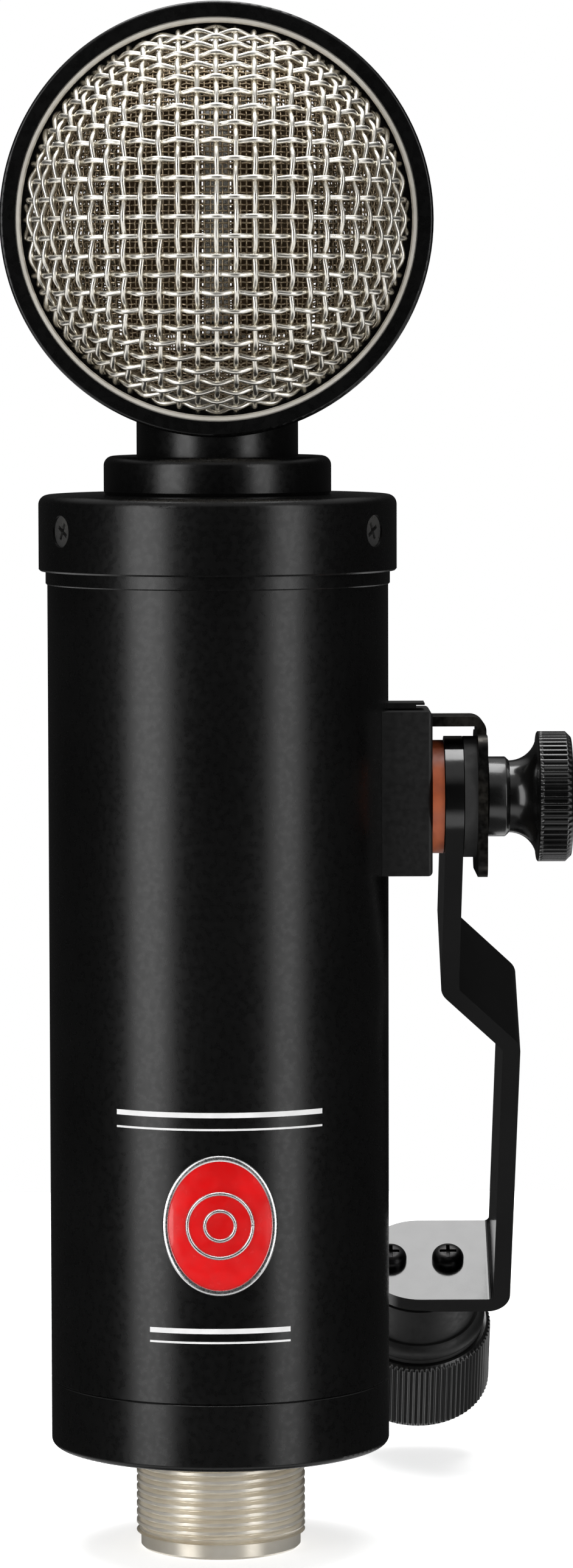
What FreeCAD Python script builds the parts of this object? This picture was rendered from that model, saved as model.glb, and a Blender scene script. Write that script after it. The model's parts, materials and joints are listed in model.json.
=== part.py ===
import FreeCAD, Part
import math
import os
import re
import Sketcher

# A side-address ribbon microphone with a swivel stand mount. Millimetres, +Z up. The origin is
# the centre of the lower rim of the threaded collar, the front looks along -Y and the stand
# mount is on the +X side, with its bracket swung back.

SIZES = {
    # Casing: a tube between two caps.
    "body_diameter": 60.0,
    "body_wall": 2.0,
    "tube_length": 140.6,
    "bottom_cap_height": 11.8,
    "seam_bevel": 0.2,
    "cap_floor": 3.0,
    "cap_edge_round": 1.7,
    "base_edge_round": 1.0,
    "spigot_length": 5.0,
    "spigot_wall": 2.0,
    "fit_clearance": 0.05,
    "seat_clearance": 0.02,
    "blind_margin": 0.5,
    "cap_screw_bite": 4.0,
    "top_cap_overhang": 1.5,
    "top_cap_height": 13.3,
    "cap_lip_overhang": 0.3,
    "cap_lip_height": 2.4,
    "cap_rim_bevel": 0.3,
    # Threaded collar with the output connector inside it.
    "collar_diameter": 30.0,
    "thread_length": 15.9,
    "lip_step": 0.8,
    "lip_height": 2.8,
    "lip_chamfer": 0.5,
    "relief_step": 0.9,
    "relief_length": 0.5,
    "flange_clearance": 1.55,
    "flange_thickness": 2.5,
    "connector_bore": 16.2,
    "connector_wall": 1.4,
    "connector_recess": 1.0,
    "connector_depth": 16.0,
    "insulator_face": 13.5,
    "insulator_thickness": 4.5,
    "pin_diameter": 2.4,
    "pin_spacing": 7.62,
    "pin_row_offset": 2.03,
    "third_pin_offset": 4.32,
    "pin_tip_level": 3.5,
    "pin_tail_level": 22.0,
    # Neck and head.
    "tier_diameter": 40.0,
    "tier_height": 6.8,
    "tier_round": 1.7,
    "tier_bevel_width": 0.3,
    "tier_bevel_height": 0.6,
    "neck_diameter": 28.4,
    "neck_bore": 16.0,
    "neck_height": 3.4,
    "neck_reach": 3.8,
    "head_diameter": 75.0,
    "head_depth": 30.0,
    "head_edge_round": 0.6,
    "head_face_width": 2.7,
    "seat_width": 2.25,
    "trim_width": 1.0,
    "trim_thickness": 2.1,
    "trim_recess": 0.2,
    "trim_chamfer": 0.25,
    "grille_edge_gap": 0.2,
    "outer_grille_thickness": 2.2,
    "outer_flange_thickness": 1.4,
    "grille_gap": 0.6,
    "inner_grille_thickness": 0.8,
    "inner_flange_thickness": 0.6,
    "dome_setback": 7.4,
    "lead_hole": 9.0,
    # Ribbon motor.
    "ribbon_width": 4.7,
    "ribbon_thickness": 0.1,
    "ribbon_wave": 0.5,
    "ribbon_waves": 20,
    "ribbon_slack": 0.25,
    "pole_width": 3.5,
    "pole_depth": 6.0,
    "magnet_width": 7.0,
    "magnet_depth": 10.0,
    "motor_margin": 2.5,
    "motor_side": 3.5,
    "motor_end": 3.0,
    "clamp_height": 3.0,
    "clamp_width": 11.0,
    "clamp_depth": 3.0,
    "clamp_screw_length": 4.8,
    "clamp_screw_offset": 3.9,
    "pad_height": 2.5,
    "pad_diameter": 4.0,
    "pad_offset": 7.0,
    "saddle_width": 20.0,
    "saddle_depth": 14.0,
    # Chassis and electronics.
    "chassis_plate": 6.0,
    "base_plate_thickness": 3.0,
    "base_plate_bore": 20.0,
    "base_seat_rise": 5.3,
    "base_seat_width": 2.4,
    "rail_width": 5.0,
    "rail_depth": 4.0,
    "rail_inset": 6.0,
    "board_thickness": 1.6,
    "board_edge": 14.0,
    "board_hole_inset": 6.0,
    "board_headroom": 37.8,
    "header_width": 12.0,
    "header_depth": 8.0,
    "header_height": 8.0,
    "header_inset": 2.0,
    "lead_diameter": 1.2,
    "lead_spacing": 6.0,
    "capacitor_diameter": 8.0,
    "capacitor_length": 13.0,
    "capacitor_pitch": 14.0,
    "core_margin": 3.7,
    "core_height": 22.0,
    "core_depth": 12.0,
    "core_limb": 4.0,
    "core_centre": 7.0,
    "coil_overhang": 3.0,
    "coil_clearance": 0.2,
    "strap_thickness": 0.8,
    # Badge, an oval enamel plaque.
    "badge_level": 61.8,
    "badge_half_width": 10.0,
    "badge_half_height": 12.2,
    "badge_rim": 1.0,
    "badge_rim_rise": 0.7,
    "badge_enamel_rise": 0.5,
    # Swivel mount.
    "pivot_drop": 37.7,
    "block_depth": 7.5,
    "block_width": 18.0,
    "block_lip": 1.1,
    "block_below": 13.3,
    "block_round": 0.8,
    "block_screw_rise": 10.0,
    "block_screw_bite": 3.7,
    "block_screw_sink": 0.15,
    "shim_gap": 0.3,
    "shim_thickness": 0.6,
    "shim_length": 4.8,
    "shim_lip_thickness": 0.35,
    "shim_lip_length": 6.3,
    "shim_width": 7.0,
    "friction_washer_diameter": 20.0,
    "friction_washer_thickness": 2.1,
    "pressure_washer_thickness": 2.3,
    "face_clearance": 0.15,
    "keeper_thickness": 1.7,
    "keeper_width": 22.0,
    "keeper_below": 13.5,
    "keeper_neck": 3.1,
    "keeper_lift": 3.7,
    "keeper_bend": 2.6,
    "tab_width": 10.0,
    "tab_reach": 4.5,
    "slot_depth": 5.2,
    "slot_clearance": 0.2,
    "stud_diameter": 6.0,
    "stud_reach": 5.6,
    "stud_end_gap": 0.4,
    "knob_hub_diameter": 14.1,
    "knob_hub_length": 3.3,
    "knob_groove_diameter": 12.7,
    "knob_bevel": 0.7,
    "knob_flare_radius": 4.9,
    "knob_diameter": 23.0,
    "knob_rim_length": 6.0,
    "knob_chamfer": 1.0,
    # Stand bracket and its adapter, drawn hanging down from the pivot.
    "stand_tilt": 35.0,
    "bracket_thickness": 3.2,
    "bracket_width": 21.4,
    "jog_start": 37.2,
    "jog_drop": 13.5,
    "jog_offset": 11.5,
    "bend_round": 1.0,
    "plate_drop": 113.7,
    "adapter_offset": 7.7,
    "bracket_screw_offset": 5.4,
    "hub_diameter": 22.0,
    "hub_height": 9.3,
    "shoulder_diameter": 25.0,
    "shoulder_height": 2.7,
    "shoulder_round": 2.2,
    "shoulder_rise": 1.0,
    "shoulder_ledge": 0.5,
    "shoulder_edge": 0.8,
    "hub_screw_bite": 7.5,
    "spigot_diameter": 17.0,
    "ring_diameter": 27.8,
    "ring_height": 16.0,
    "ring_chamfer": 0.8,
    "ring_lip": 3.6,
    "ring_bore": 15.9,
    "clip_rise": 1.5,
    "cavity_clearance": 0.25,
    "clip_thickness": 1.2,
    "clip_groove": 1.0,
    "clip_play": 0.3,
    "clip_gap": 5.0,
    # Fasteners.
    "screw_diameter": 3.0,
    "head_diameter_pan": 6.0,
    "head_height_pan": 2.4,
    "head_round_pan": 1.8,
    "head_diameter_flat": 5.6,
    "head_height_flat": 1.7,
    "flat_head_recess": 0.5,
    "flat_head_land": 0.2,
    "small_screw_diameter": 1.6,
    "small_head_diameter": 3.0,
    "small_head_height": 1.2,
    "cross_width": 0.7,
    "cross_span": 3.2,
    "cross_depth": 1.2,
}

DERIVED = {
    "body_radius": "body_diameter / 2",
    "tube_inner": "body_radius - body_wall",
    "spigot_outer": "tube_inner - fit_clearance",
    "spigot_inner": "spigot_outer - spigot_wall",
    "collar_radius": "collar_diameter / 2",
    "lip_radius": "collar_radius - lip_step",
    "collar_waist": "collar_radius - relief_step",
    "collar_bore": "connector_bore + 2 * connector_wall",
    "seat_inner": "spigot_inner - base_seat_width",
    "flange_radius": "seat_inner - flange_clearance",
    "flange_screw_circle": "(collar_radius + flange_radius) / 2",
    "body_bottom": "lip_height + thread_length",
    "thread_end": "body_bottom - relief_length",
    "floor_top": "body_bottom + cap_floor",
    "seam_level": "body_bottom + bottom_cap_height",
    "tube_top": "seam_level + tube_length",
    "cap_lip_top": "tube_top + cap_lip_height",
    "cap_top": "cap_lip_top + top_cap_height",
    "top_cap_radius": "body_radius + top_cap_overhang",
    "cap_ceiling": "cap_top - cap_floor",
    "chassis_top": "cap_ceiling - chassis_plate",
    "cap_screw_level": "cap_ceiling - chassis_plate / 2",
    "base_seat": "floor_top + base_seat_rise",
    "base_top": "base_seat + base_plate_thickness",
    "plate_radius": "spigot_inner - fit_clearance",
    "tier_top": "cap_top + tier_height",
    "head_radius": "head_diameter / 2",
    "head_level": "tier_top + neck_height + head_radius",
    "head_half": "head_depth / 2",
    "seat_radius": "head_radius - head_face_width + fit_clearance",
    "trim_outer": "head_radius - head_face_width",
    "trim_inner": "trim_outer - trim_width",
    "head_bore": "2 * (seat_radius - seat_width)",
    "trim_face": "head_half - trim_recess",
    "flange_face": "trim_face - trim_thickness",
    "seat_face": "flange_face - outer_flange_thickness - inner_flange_thickness",
    "dome_centre": "flange_face - dome_setback",
    "outer_grille_radius": "sqrt((trim_inner - grille_edge_gap)^2 + dome_setback^2)",
    "outer_dome_inner": "outer_grille_radius - outer_grille_thickness",
    "inner_dome_outer": "outer_dome_inner - grille_gap",
    "inner_dome_inner": "inner_dome_outer - inner_grille_thickness",
    "pole_start": "ribbon_width / 2 + ribbon_slack",
    "magnet_start": "pole_start + pole_width",
    "magnet_end": "magnet_start + magnet_width",
    "motor_half_width": "magnet_end + motor_side",
    "motor_half_height": "sqrt((head_bore / 2)^2 - motor_half_width^2) - motor_margin",
    "window_half_height": "motor_half_height - motor_end",
    "magnet_length": "2 * (window_half_height - clamp_height)",
    "saddle_top": "motor_half_height + pad_height",
    "rail_length": "chassis_top - base_top",
    "rail_offset": "plate_radius - rail_inset",
    "board_length": "rail_length - board_edge - board_headroom",
    "core_width": "2 * (rail_offset - rail_width / 2 - strap_thickness - core_margin)",
    "board_level": "base_top + board_edge",
    "board_width": "2 * rail_offset + rail_width",
    "board_front": "rail_depth",
    "board_rear": "board_front + board_thickness",
    "transformer_level": "board_level + board_length / 2",
    "pivot_level": "tube_top - pivot_drop",
    "block_face": "body_radius + block_depth",
    "keeper_above": "bracket_width / 2 + keeper_lift",
    "keeper_shoulder": "keeper_above - keeper_neck",
    "block_above": "keeper_above + block_lip",
    "washer_face": "block_face + friction_washer_thickness",
    "bracket_inner": "washer_face + face_clearance",
    "bracket_outer": "bracket_inner + bracket_thickness",
    "pressure_face": "bracket_outer + face_clearance",
    "keeper_inner": "pressure_face + pressure_washer_thickness",
    "keeper_outer": "keeper_inner + keeper_thickness",
    "knob_start": "keeper_outer + face_clearance",
    "knob_waist": "knob_hub_length + knob_bevel",
    "knob_rim": "knob_waist + knob_flare_radius",
    "knob_length": "knob_rim + knob_rim_length",
    "stud_start": "block_face - stud_reach",
    "stud_hole": "stud_diameter / 2 + fit_clearance",
    "block_top": "pivot_level + block_above",
    "adapter_line": "body_radius + adapter_offset",
    "plate_under": "plate_drop + bracket_thickness",
    "jog_shift": "bracket_thickness * tan(atan(jog_offset / jog_drop) / 2)",
    "hub_under": "plate_under + hub_height",
    "shoulder_under": "hub_under + shoulder_height",
    "ring_start": "shoulder_under + face_clearance",
    "clip_radius": "spigot_diameter / 2 + clip_rise",
    "clip_start": "ring_lip + clip_play",
    "clip_end": "clip_start + clip_thickness",
    "spigot_end": "clip_end + clip_groove",
    "cavity_end": "spigot_end + clip_play",
}

EDGE_TOLERANCE = 0.01
ALONG_X = FreeCAD.Rotation(FreeCAD.Vector(0, 1, 0), 90)
ALONG_Y = FreeCAD.Rotation(FreeCAD.Vector(1, 0, 0), -90)
ALONG_Z = FreeCAD.Rotation()
BOARD_HOLE_RISE = {
    "low": "board_level + board_hole_inset",
    "high": "board_level + board_length - board_hole_inset",
}
FACING = {"front": FreeCAD.Rotation(FreeCAD.Vector(1, 0, 0), 90), "rear": ALONG_Y}

doc = FreeCAD.newDocument("ribbon_microphone")
sheet = doc.addObject("Spreadsheet::Sheet", "sizes")
for row, (size, number) in enumerate(SIZES.items(), 1):
    sheet.set(f"A{row}", size)
    sheet.set(f"B{row}", str(number))
    sheet.setAlias(f"B{row}", size)
doc.recompute()
gauge = doc.addObject("App::FeaturePython", "gauge")
sub_parts = {}


def written_out(text):
    """The expression with derived values written out and every size pointing at its cell."""

    def word(match):
        name = match.group(0)
        if name in DERIVED:
            return "(" + written_out(DERIVED[name]) + ")"
        return "sizes." + name if name in SIZES else name

    return re.sub(r"[A-Za-z_]\w*", word, str(text))


def value(text):
    return float(gauge.evalExpression(written_out(text)))


def bind(thing, **properties):
    for name, text in properties.items():
        thing.setExpression(name, written_out(text))


def place(thing, x="0", y="0", z="0", turn=ALONG_Z):
    """Puts an object at a point bound to the sheet, with its own Z turned to another axis."""
    thing.Placement = FreeCAD.Placement(FreeCAD.Vector(), turn)
    for axis, text in (("x", x), ("y", y), ("z", z)):
        thing.setExpression(f"Placement.Base.{axis}", written_out(text))
    return thing


def hang(thing, x="0", drop="0"):
    """Puts a piece drawn upright on the swung bracket, a distance down from the pivot."""
    place(thing, x, f"({drop}) * sin(stand_tilt)", f"pivot_level - ({drop}) * cos(stand_tilt)")
    thing.Placement.Rotation = FreeCAD.Rotation(FreeCAD.Vector(1, 0, 0), value("stand_tilt"))
    thing.setExpression("Placement.Rotation.Angle", written_out("stand_tilt"))
    return thing


def sub_part(label, thing):
    """Names the object that is one physical piece, or one group of identical pieces."""
    thing.Label = label
    sub_parts[label] = thing
    return thing


def origin_plane(body, role):
    return next(item for item in body.Origin.OriginFeatures if item.Role == role)


def arc_between(start, end, radius):
    """The short arc that bends left on its way from start to end."""
    chord = end - start
    right = FreeCAD.Vector(chord.y, -chord.x, 0).normalize()
    rise = radius - math.sqrt(max(radius**2 - (chord.Length / 2) ** 2, 0))
    return Part.Arc(start, (start + end) * 0.5 + right * rise, end)


def outline(body, name, role, points):
    """A closed sketch of (u, v) points.

    A third entry makes the edge to the next point an arc of that radius. It bends left, or
    right with a minus sign in front.
    """
    sketch = body.newObject("Sketcher::SketchObject", name)
    sketch.AttachmentSupport = [(origin_plane(body, role), "")]
    sketch.MapMode = "FlatFace"
    corners = [FreeCAD.Vector(value(point[0]), value(point[1]), 0) for point in points]
    count = len(points)
    ends = []
    for index, point in enumerate(points):
        start = corners[index]
        end = corners[(index + 1) % count]
        if len(point) == 2:
            sketch.addGeometry(Part.LineSegment(start, end), False)
            ends.append((1, 2))
            continue
        if point[2].startswith("-"):
            sketch.addGeometry(arc_between(end, start, value(point[2][1:])), False)
            ends.append((2, 1))
        else:
            sketch.addGeometry(arc_between(start, end, value(point[2])), False)
            ends.append((1, 2))
    for index in range(count):
        after = (index + 1) % count
        joined = Sketcher.Constraint("Coincident", index, ends[index][1], after, ends[after][0])
        sketch.addConstraint(joined)
    for index, point in enumerate(points):
        start = ends[index][0]
        for kind, axis, text in (("DistanceX", -2, point[0]), ("DistanceY", -1, point[1])):
            if text == "0":
                sketch.addConstraint(Sketcher.Constraint("PointOnObject", index, start, axis))
                continue
            datum = Sketcher.Constraint(kind, -1, 1, index, start, value(text))
            number = sketch.addConstraint(datum)
            sketch.setExpression(f"Constraints[{number}]", written_out(text))
        if len(point) == 3:
            size = point[2].lstrip("-")
            number = sketch.addConstraint(Sketcher.Constraint("Radius", index, value(size)))
            sketch.setExpression(f"Constraints[{number}]", written_out(size))
    return sketch


def turned(name, points):
    """A piece turned about its own Z, from an outline of (radius, height) points."""
    body = doc.addObject("PartDesign::Body", name)
    sketch = outline(body, name + "_outline", "XZ_Plane", points)
    spin = body.newObject("PartDesign::Revolution", name + "_turned")
    spin.Profile = sketch
    spin.ReferenceAxis = (sketch, ["V_Axis"])
    spin.Angle = 360
    sketch.Visibility = False
    return body


def ring(name, outer, inner, low, high):
    """A plain turned ring or, with an inner radius of 0, a disc."""
    return turned(name, [(inner, low), (outer, low), (outer, high), (inner, high)])


def padded(name, role, points, width):
    """A body padded both ways from an origin plane."""
    body = doc.addObject("PartDesign::Body", name)
    sketch = outline(body, name + "_outline", role, points)
    pad = body.newObject("PartDesign::Pad", name + "_pad")
    pad.Profile = sketch
    pad.Midplane = True
    bind(pad, Length=width)
    sketch.Visibility = False
    return body


def rounded(body, radius, chosen):
    """Rounds the edges of a body that the chosen test picks."""
    doc.recompute()
    base = body.Tip
    names = [f"Edge{number}" for number, edge in enumerate(base.Shape.Edges, 1) if chosen(edge)]
    fillet = body.newObject("PartDesign::Fillet", body.Name + "_round")
    fillet.Base = (base, names)
    bind(fillet, Radius=radius)
    return body


def runs_along(edge, axis):
    """Whether a straight edge is parallel to an axis given as a vector."""
    span = edge.Vertexes[-1].Point - edge.Vertexes[0].Point
    return span.Length > 1e-6 and span.cross(axis).Length < 1e-6 * span.Length


def box(name, x, y, z, length, width, height):
    """A box centred on x and y, rising from z."""
    made = doc.addObject("Part::Box", name)
    bind(made, Length=length, Width=width, Height=height)
    return place(made, f"{x} - ({length}) / 2", f"{y} - ({width}) / 2", z)


def cylinder(name, radius, height, x="0", y="0", z="0", turn=ALONG_Z):
    made = doc.addObject("Part::Cylinder", name)
    bind(made, Radius=radius, Height=height)
    return place(made, x, y, z, turn)


def cut(name, base, *tools):
    for number, tool in enumerate(tools, 1):
        result = doc.addObject("Part::Cut", f"{name}_cut_{number}")
        result.Base = base
        result.Tool = tool
        base = result
    return base


def joined(name, *pieces):
    result = doc.addObject("Part::MultiFuse", name)
    result.Shapes = list(pieces)
    return result


def common(name, first, second):
    result = doc.addObject("Part::MultiCommon", name)
    result.Shapes = [first, second]
    return result


def group(name, pieces):
    """Identical separate pieces that share one node."""
    result = doc.addObject("Part::Compound", name)
    result.Links = list(pieces)
    return result


def cross_recess(name, top):
    """The tool for a cross-head driver's recess, going down from a head's top."""
    start = f"{top} - cross_depth"
    bars = (("cross_span", "cross_width"), ("cross_width", "cross_span"))
    return joined(
        name,
        *(
            box(f"{name}_{number}", "0", "0", start, length, width, "2 * cross_depth")
            for number, (length, width) in enumerate(bars)
        ),
    )


def pan_screw(name, length):
    """A pan-head screw pointing down from its seat at z = 0."""
    shank = "screw_diameter / 2"
    head = "head_diameter_pan / 2"
    points = [
        ("0", f"-({length})"),
        (shank, f"-({length})"),
        (shank, "0"),
        (head, "0"),
        (head, "head_height_pan - head_round_pan", "head_round_pan"),
        (f"{head} - head_round_pan", "head_height_pan"),
        ("0", "head_height_pan"),
    ]
    screw = turned(name, points)
    return cut(name, screw, cross_recess(name + "_cross", "head_height_pan"))


def flat_profile(length, clearance):
    """A countersunk screw below z = 0, and with a clearance, the hole that it sits in."""
    shank = f"screw_diameter / 2 + {clearance}"
    head = f"head_diameter_flat / 2 + {clearance}"
    return [
        ("0", f"-({length})"),
        (shank, f"-({length})"),
        (shank, "-head_height_flat"),
        (head, "-flat_head_land"),
        (head, "0"),
        ("0", "0"),
    ]


def small_screw(name, length):
    """A small cheese-head screw pointing down from its seat at z = 0."""
    shank = "small_screw_diameter / 2"
    head = "small_head_diameter / 2"
    points = [
        ("0", f"-({length})"),
        (shank, f"-({length})"),
        (shank, "0"),
        (head, "0"),
        (head, "small_head_height"),
        ("0", "small_head_height"),
    ]
    return turned(name, points)


# Casing ---------------------------------------------------------------------------------------


def make_body_tube():
    points = [
        ("tube_inner", "seam_level"),
        ("body_radius - seam_bevel", "seam_level"),
        ("body_radius", "seam_level + seam_bevel"),
        ("body_radius", "tube_top"),
        ("tube_inner", "tube_top"),
    ]
    tube = turned("body_tube_wall", points)
    holes = [
        cylinder(
            f"tube_screw_hole_{side}",
            "screw_diameter / 2",
            "2 * body_wall",
            x="tube_inner - body_wall / 2",
            z=f"pivot_level {side} block_screw_rise",
            turn=ALONG_X,
        )
        for side in "+-"
    ]
    sub_part("body_tube", cut("body_tube", tube, *holes))


def make_bottom_cap():
    points = [
        ("collar_waist", "body_bottom"),
        ("body_radius - base_edge_round", "body_bottom", "base_edge_round"),
        ("body_radius", "body_bottom + base_edge_round"),
        ("body_radius", "seam_level - seam_bevel"),
        ("body_radius - seam_bevel", "seam_level"),
        ("spigot_outer", "seam_level"),
        ("spigot_outer", "seam_level + spigot_length"),
        ("spigot_inner", "seam_level + spigot_length"),
        ("spigot_inner", "base_seat"),
        ("seat_inner", "base_seat"),
        ("seat_inner", "floor_top"),
        ("collar_waist", "floor_top"),
    ]
    cap = turned("bottom_cap_turned", points)
    holes = [
        place(cylinder(f"cap_floor_hole_{index}", "screw_diameter / 2", "cap_floor"), *spot)
        for index, spot in enumerate(flange_screw_spots("floor_top - cap_floor + blind_margin"))
    ]
    sub_part("bottom_cap", cut("bottom_cap", cap, *holes))


def flange_screw_spots(level):
    """Three places on the collar's flange."""
    return [
        (f"flange_screw_circle * cos({turn})", f"flange_screw_circle * sin({turn})", level)
        for turn in (30, 150, 270)
    ]


def cap_screw_places(radius):
    """Three radial places round the top cap, the odd one at the back, with the way out."""
    for turn in (-150, -30, 90):
        out = FreeCAD.Vector(math.cos(math.radians(turn)), math.sin(math.radians(turn)), 0)
        aim = FreeCAD.Rotation(FreeCAD.Vector(0, 0, 1), out)
        yield f"({radius}) * cos({turn})", f"({radius}) * sin({turn})", "cap_screw_level", aim


def make_top_cap():
    points = [
        ("neck_bore / 2", "cap_ceiling"),
        ("spigot_inner", "cap_ceiling"),
        ("spigot_inner", "tube_top - spigot_length"),
        ("spigot_outer", "tube_top - spigot_length"),
        ("spigot_outer", "tube_top"),
        ("body_radius + cap_lip_overhang - seam_bevel", "tube_top"),
        ("body_radius + cap_lip_overhang", "tube_top + seam_bevel"),
        ("body_radius + cap_lip_overhang", "cap_lip_top"),
        ("top_cap_radius - cap_rim_bevel", "cap_lip_top"),
        ("top_cap_radius", "cap_lip_top + cap_rim_bevel"),
        ("top_cap_radius", "cap_top - cap_edge_round", "cap_edge_round"),
        ("top_cap_radius - cap_edge_round", "cap_top"),
        ("neck_bore / 2", "cap_top"),
    ]
    cap = turned("top_cap_turned", points)
    length = "top_cap_radius - spigot_inner + cap_screw_bite"
    seat = "top_cap_radius - flat_head_recess"
    holes = []
    screws = []
    for index, spot in enumerate(cap_screw_places(seat)):
        hole = turned(f"cap_screw_hole_{index}", flat_profile(length, "seat_clearance"))
        width = "head_diameter_flat / 2 + seat_clearance"
        mouth = cylinder(f"cap_screw_mouth_{index}", width, "2 * flat_head_recess")
        holes += [place(hole, *spot), place(mouth, *spot)]
        screw = turned(f"cap_screw_{index}_turned", flat_profile(length, "0"))
        screw = cut(f"cap_screw_{index}", screw, cross_recess(f"cap_screw_{index}_cross", "0"))
        screws.append(place(screw, *spot))
    sub_part("top_cap", cut("top_cap", cap, *holes))
    sub_part("top_cap_screws", group("top_cap_screws", screws))


# Collar and output connector ------------------------------------------------------------------


def make_thread_collar():
    bore = "collar_bore / 2"
    points = [
        (bore, "0"),
        ("lip_radius - lip_chamfer", "0"),
        ("lip_radius", "lip_chamfer"),
        ("lip_radius", "lip_height"),
        ("collar_radius", "lip_height"),
        ("collar_radius", "thread_end"),
        ("collar_waist", "thread_end"),
        ("collar_waist", "floor_top"),
        ("flange_radius", "floor_top"),
        ("flange_radius", "floor_top + flange_thickness"),
        (bore, "floor_top + flange_thickness"),
    ]
    collar = turned("thread_collar_turned", points)
    holes = [
        place(cylinder(f"flange_hole_{index}", "screw_diameter / 2", "flange_thickness"), *spot)
        for index, spot in enumerate(flange_screw_spots("floor_top"))
    ]
    sub_part("thread_collar", cut("thread_collar", collar, *holes))
    length = "flange_thickness + cap_floor - blind_margin"
    screws = [
        place(pan_screw(f"collar_screw_{index}", length), *spot)
        for index, spot in enumerate(flange_screw_spots("floor_top + flange_thickness"))
    ]
    sub_part("collar_screws", group("collar_screws", screws))


def pin_spots(level):
    half = "pin_spacing / 2"
    return [
        (half, "pin_row_offset", level),
        (f"-{half}", "pin_row_offset", level),
        ("0", "-third_pin_offset", level),
    ]


def make_connector():
    top = "connector_recess + connector_depth"
    sub_part(
        "connector_shell",
        ring("connector_shell", "collar_bore / 2", "connector_bore / 2", "connector_recess", top),
    )
    disc = cylinder(
        "insulator_disc", "connector_bore / 2", "insulator_thickness", z="insulator_face"
    )
    holes = [
        place(cylinder(f"pin_hole_{index}", "pin_diameter / 2", "insulator_thickness"), *spot)
        for index, spot in enumerate(pin_spots("insulator_face"))
    ]
    sub_part("connector_insulator", cut("connector_insulator", disc, *holes))
    tip = "pin_diameter / 3"
    wide = "pin_diameter / 2"
    tail = "pin_diameter / 3"
    back = "insulator_face + insulator_thickness"
    points = [
        ("0", "pin_tip_level"),
        (f"{wide} - {tip}", "pin_tip_level", tip),
        (wide, f"pin_tip_level + {tip}"),
        (wide, back),
        (tail, back),
        (tail, "pin_tail_level"),
        ("0", "pin_tail_level"),
    ]
    pins = [
        place(turned(f"connector_pin_{index}", points), *spot)
        for index, spot in enumerate(pin_spots("0"))
    ]
    sub_part("connector_pins", group("connector_pins", pins))
    length = "board_level + header_inset - pin_tail_level"
    leads = [
        place(cylinder(f"output_lead_{index}", "lead_diameter / 2", length), *spot)
        for index, spot in enumerate(pin_spots("pin_tail_level"))
    ]
    sub_part("output_leads", group("output_leads", leads))


# Head -----------------------------------------------------------------------------------------


def make_neck():
    top = "head_level - head_radius + neck_reach"
    tube = ring("neck_tube", "neck_diameter / 2", "neck_bore / 2", "cap_top", top)
    saddle = cylinder(
        "neck_saddle",
        "head_radius",
        "2 * head_depth",
        y="-head_depth",
        z="head_level",
        turn=ALONG_Y,
    )
    sub_part("head_neck", cut("head_neck", tube, saddle))
    inner = "neck_diameter / 2 + fit_clearance"
    points = [
        (inner, "cap_top"),
        ("tier_diameter / 2 - tier_bevel_width", "cap_top"),
        ("tier_diameter / 2", "cap_top + tier_bevel_height"),
        ("tier_diameter / 2", "tier_top - tier_round", "tier_round"),
        ("tier_diameter / 2 - tier_round", "tier_top"),
        (inner, "tier_top"),
    ]
    sub_part("neck_collar", turned("neck_collar", points))


def make_head_ring():
    edge = "head_radius - head_edge_round"
    side = "head_half - head_edge_round"
    points = [
        ("head_bore / 2", "-seat_face"),
        ("seat_radius", "-seat_face"),
        ("seat_radius", "-head_half"),
        (edge, "-head_half", "head_edge_round"),
        ("head_radius", f"-({side})"),
        ("head_radius", side, "head_edge_round"),
        (edge, "head_half"),
        ("seat_radius", "head_half"),
        ("seat_radius", "seat_face"),
        ("head_bore / 2", "seat_face"),
    ]
    band = place(turned("head_ring_turned", points), z="head_level", turn=ALONG_Y)
    low = "head_level - head_diameter + head_half"
    wiring = cylinder("wiring_hole", "lead_hole / 2", "head_radius", z=low)
    sub_part("head_ring", cut("head_ring", band, wiring))


def dome(name, outer, inner, low, high, side):
    """A round grille pressed from sheet: a dome and the flat edge that the trim ring clamps."""
    ball = doc.addObject("Part::Sphere", f"{name}_outside")
    bind(ball, Radius=outer, Angle1=f"asin(({low} - dome_centre) / ({outer}))")
    hollow = doc.addObject("Part::Sphere", f"{name}_inside")
    bind(hollow, Radius=inner)
    shell = cut(f"{name}_shell", place(ball, z="dome_centre"), place(hollow, z="dome_centre"))
    mouth = f"sqrt(({inner})^2 - ({low} - dome_centre)^2)"
    flange = ring(f"{name}_flange", "seat_radius - fit_clearance", mouth, low, high)
    return place(joined(name, shell, flange), z="head_level", turn=FACING[side])


def make_grilles():
    shared = "flange_face - outer_flange_thickness"
    for side in FACING:
        name = f"{side}_grille_outer"
        spans = ("outer_grille_radius", "outer_dome_inner", shared, "flange_face")
        sub_part(name, dome(name, *spans, side))
        name = f"{side}_grille_inner"
        spans = ("inner_dome_outer", "inner_dome_inner", "seat_face", shared)
        sub_part(name, dome(name, *spans, side))
        points = [
            ("trim_inner", "flange_face"),
            ("trim_outer", "flange_face"),
            ("trim_outer", "trim_face - trim_chamfer"),
            ("trim_outer - trim_chamfer", "trim_face"),
            ("trim_inner + trim_chamfer", "trim_face"),
            ("trim_inner", "trim_face - trim_chamfer"),
        ]
        trim = turned(f"{side}_trim_ring", points)
        sub_part(f"{side}_trim_ring", place(trim, z="head_level", turn=FACING[side]))


# Ribbon motor ---------------------------------------------------------------------------------


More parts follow.
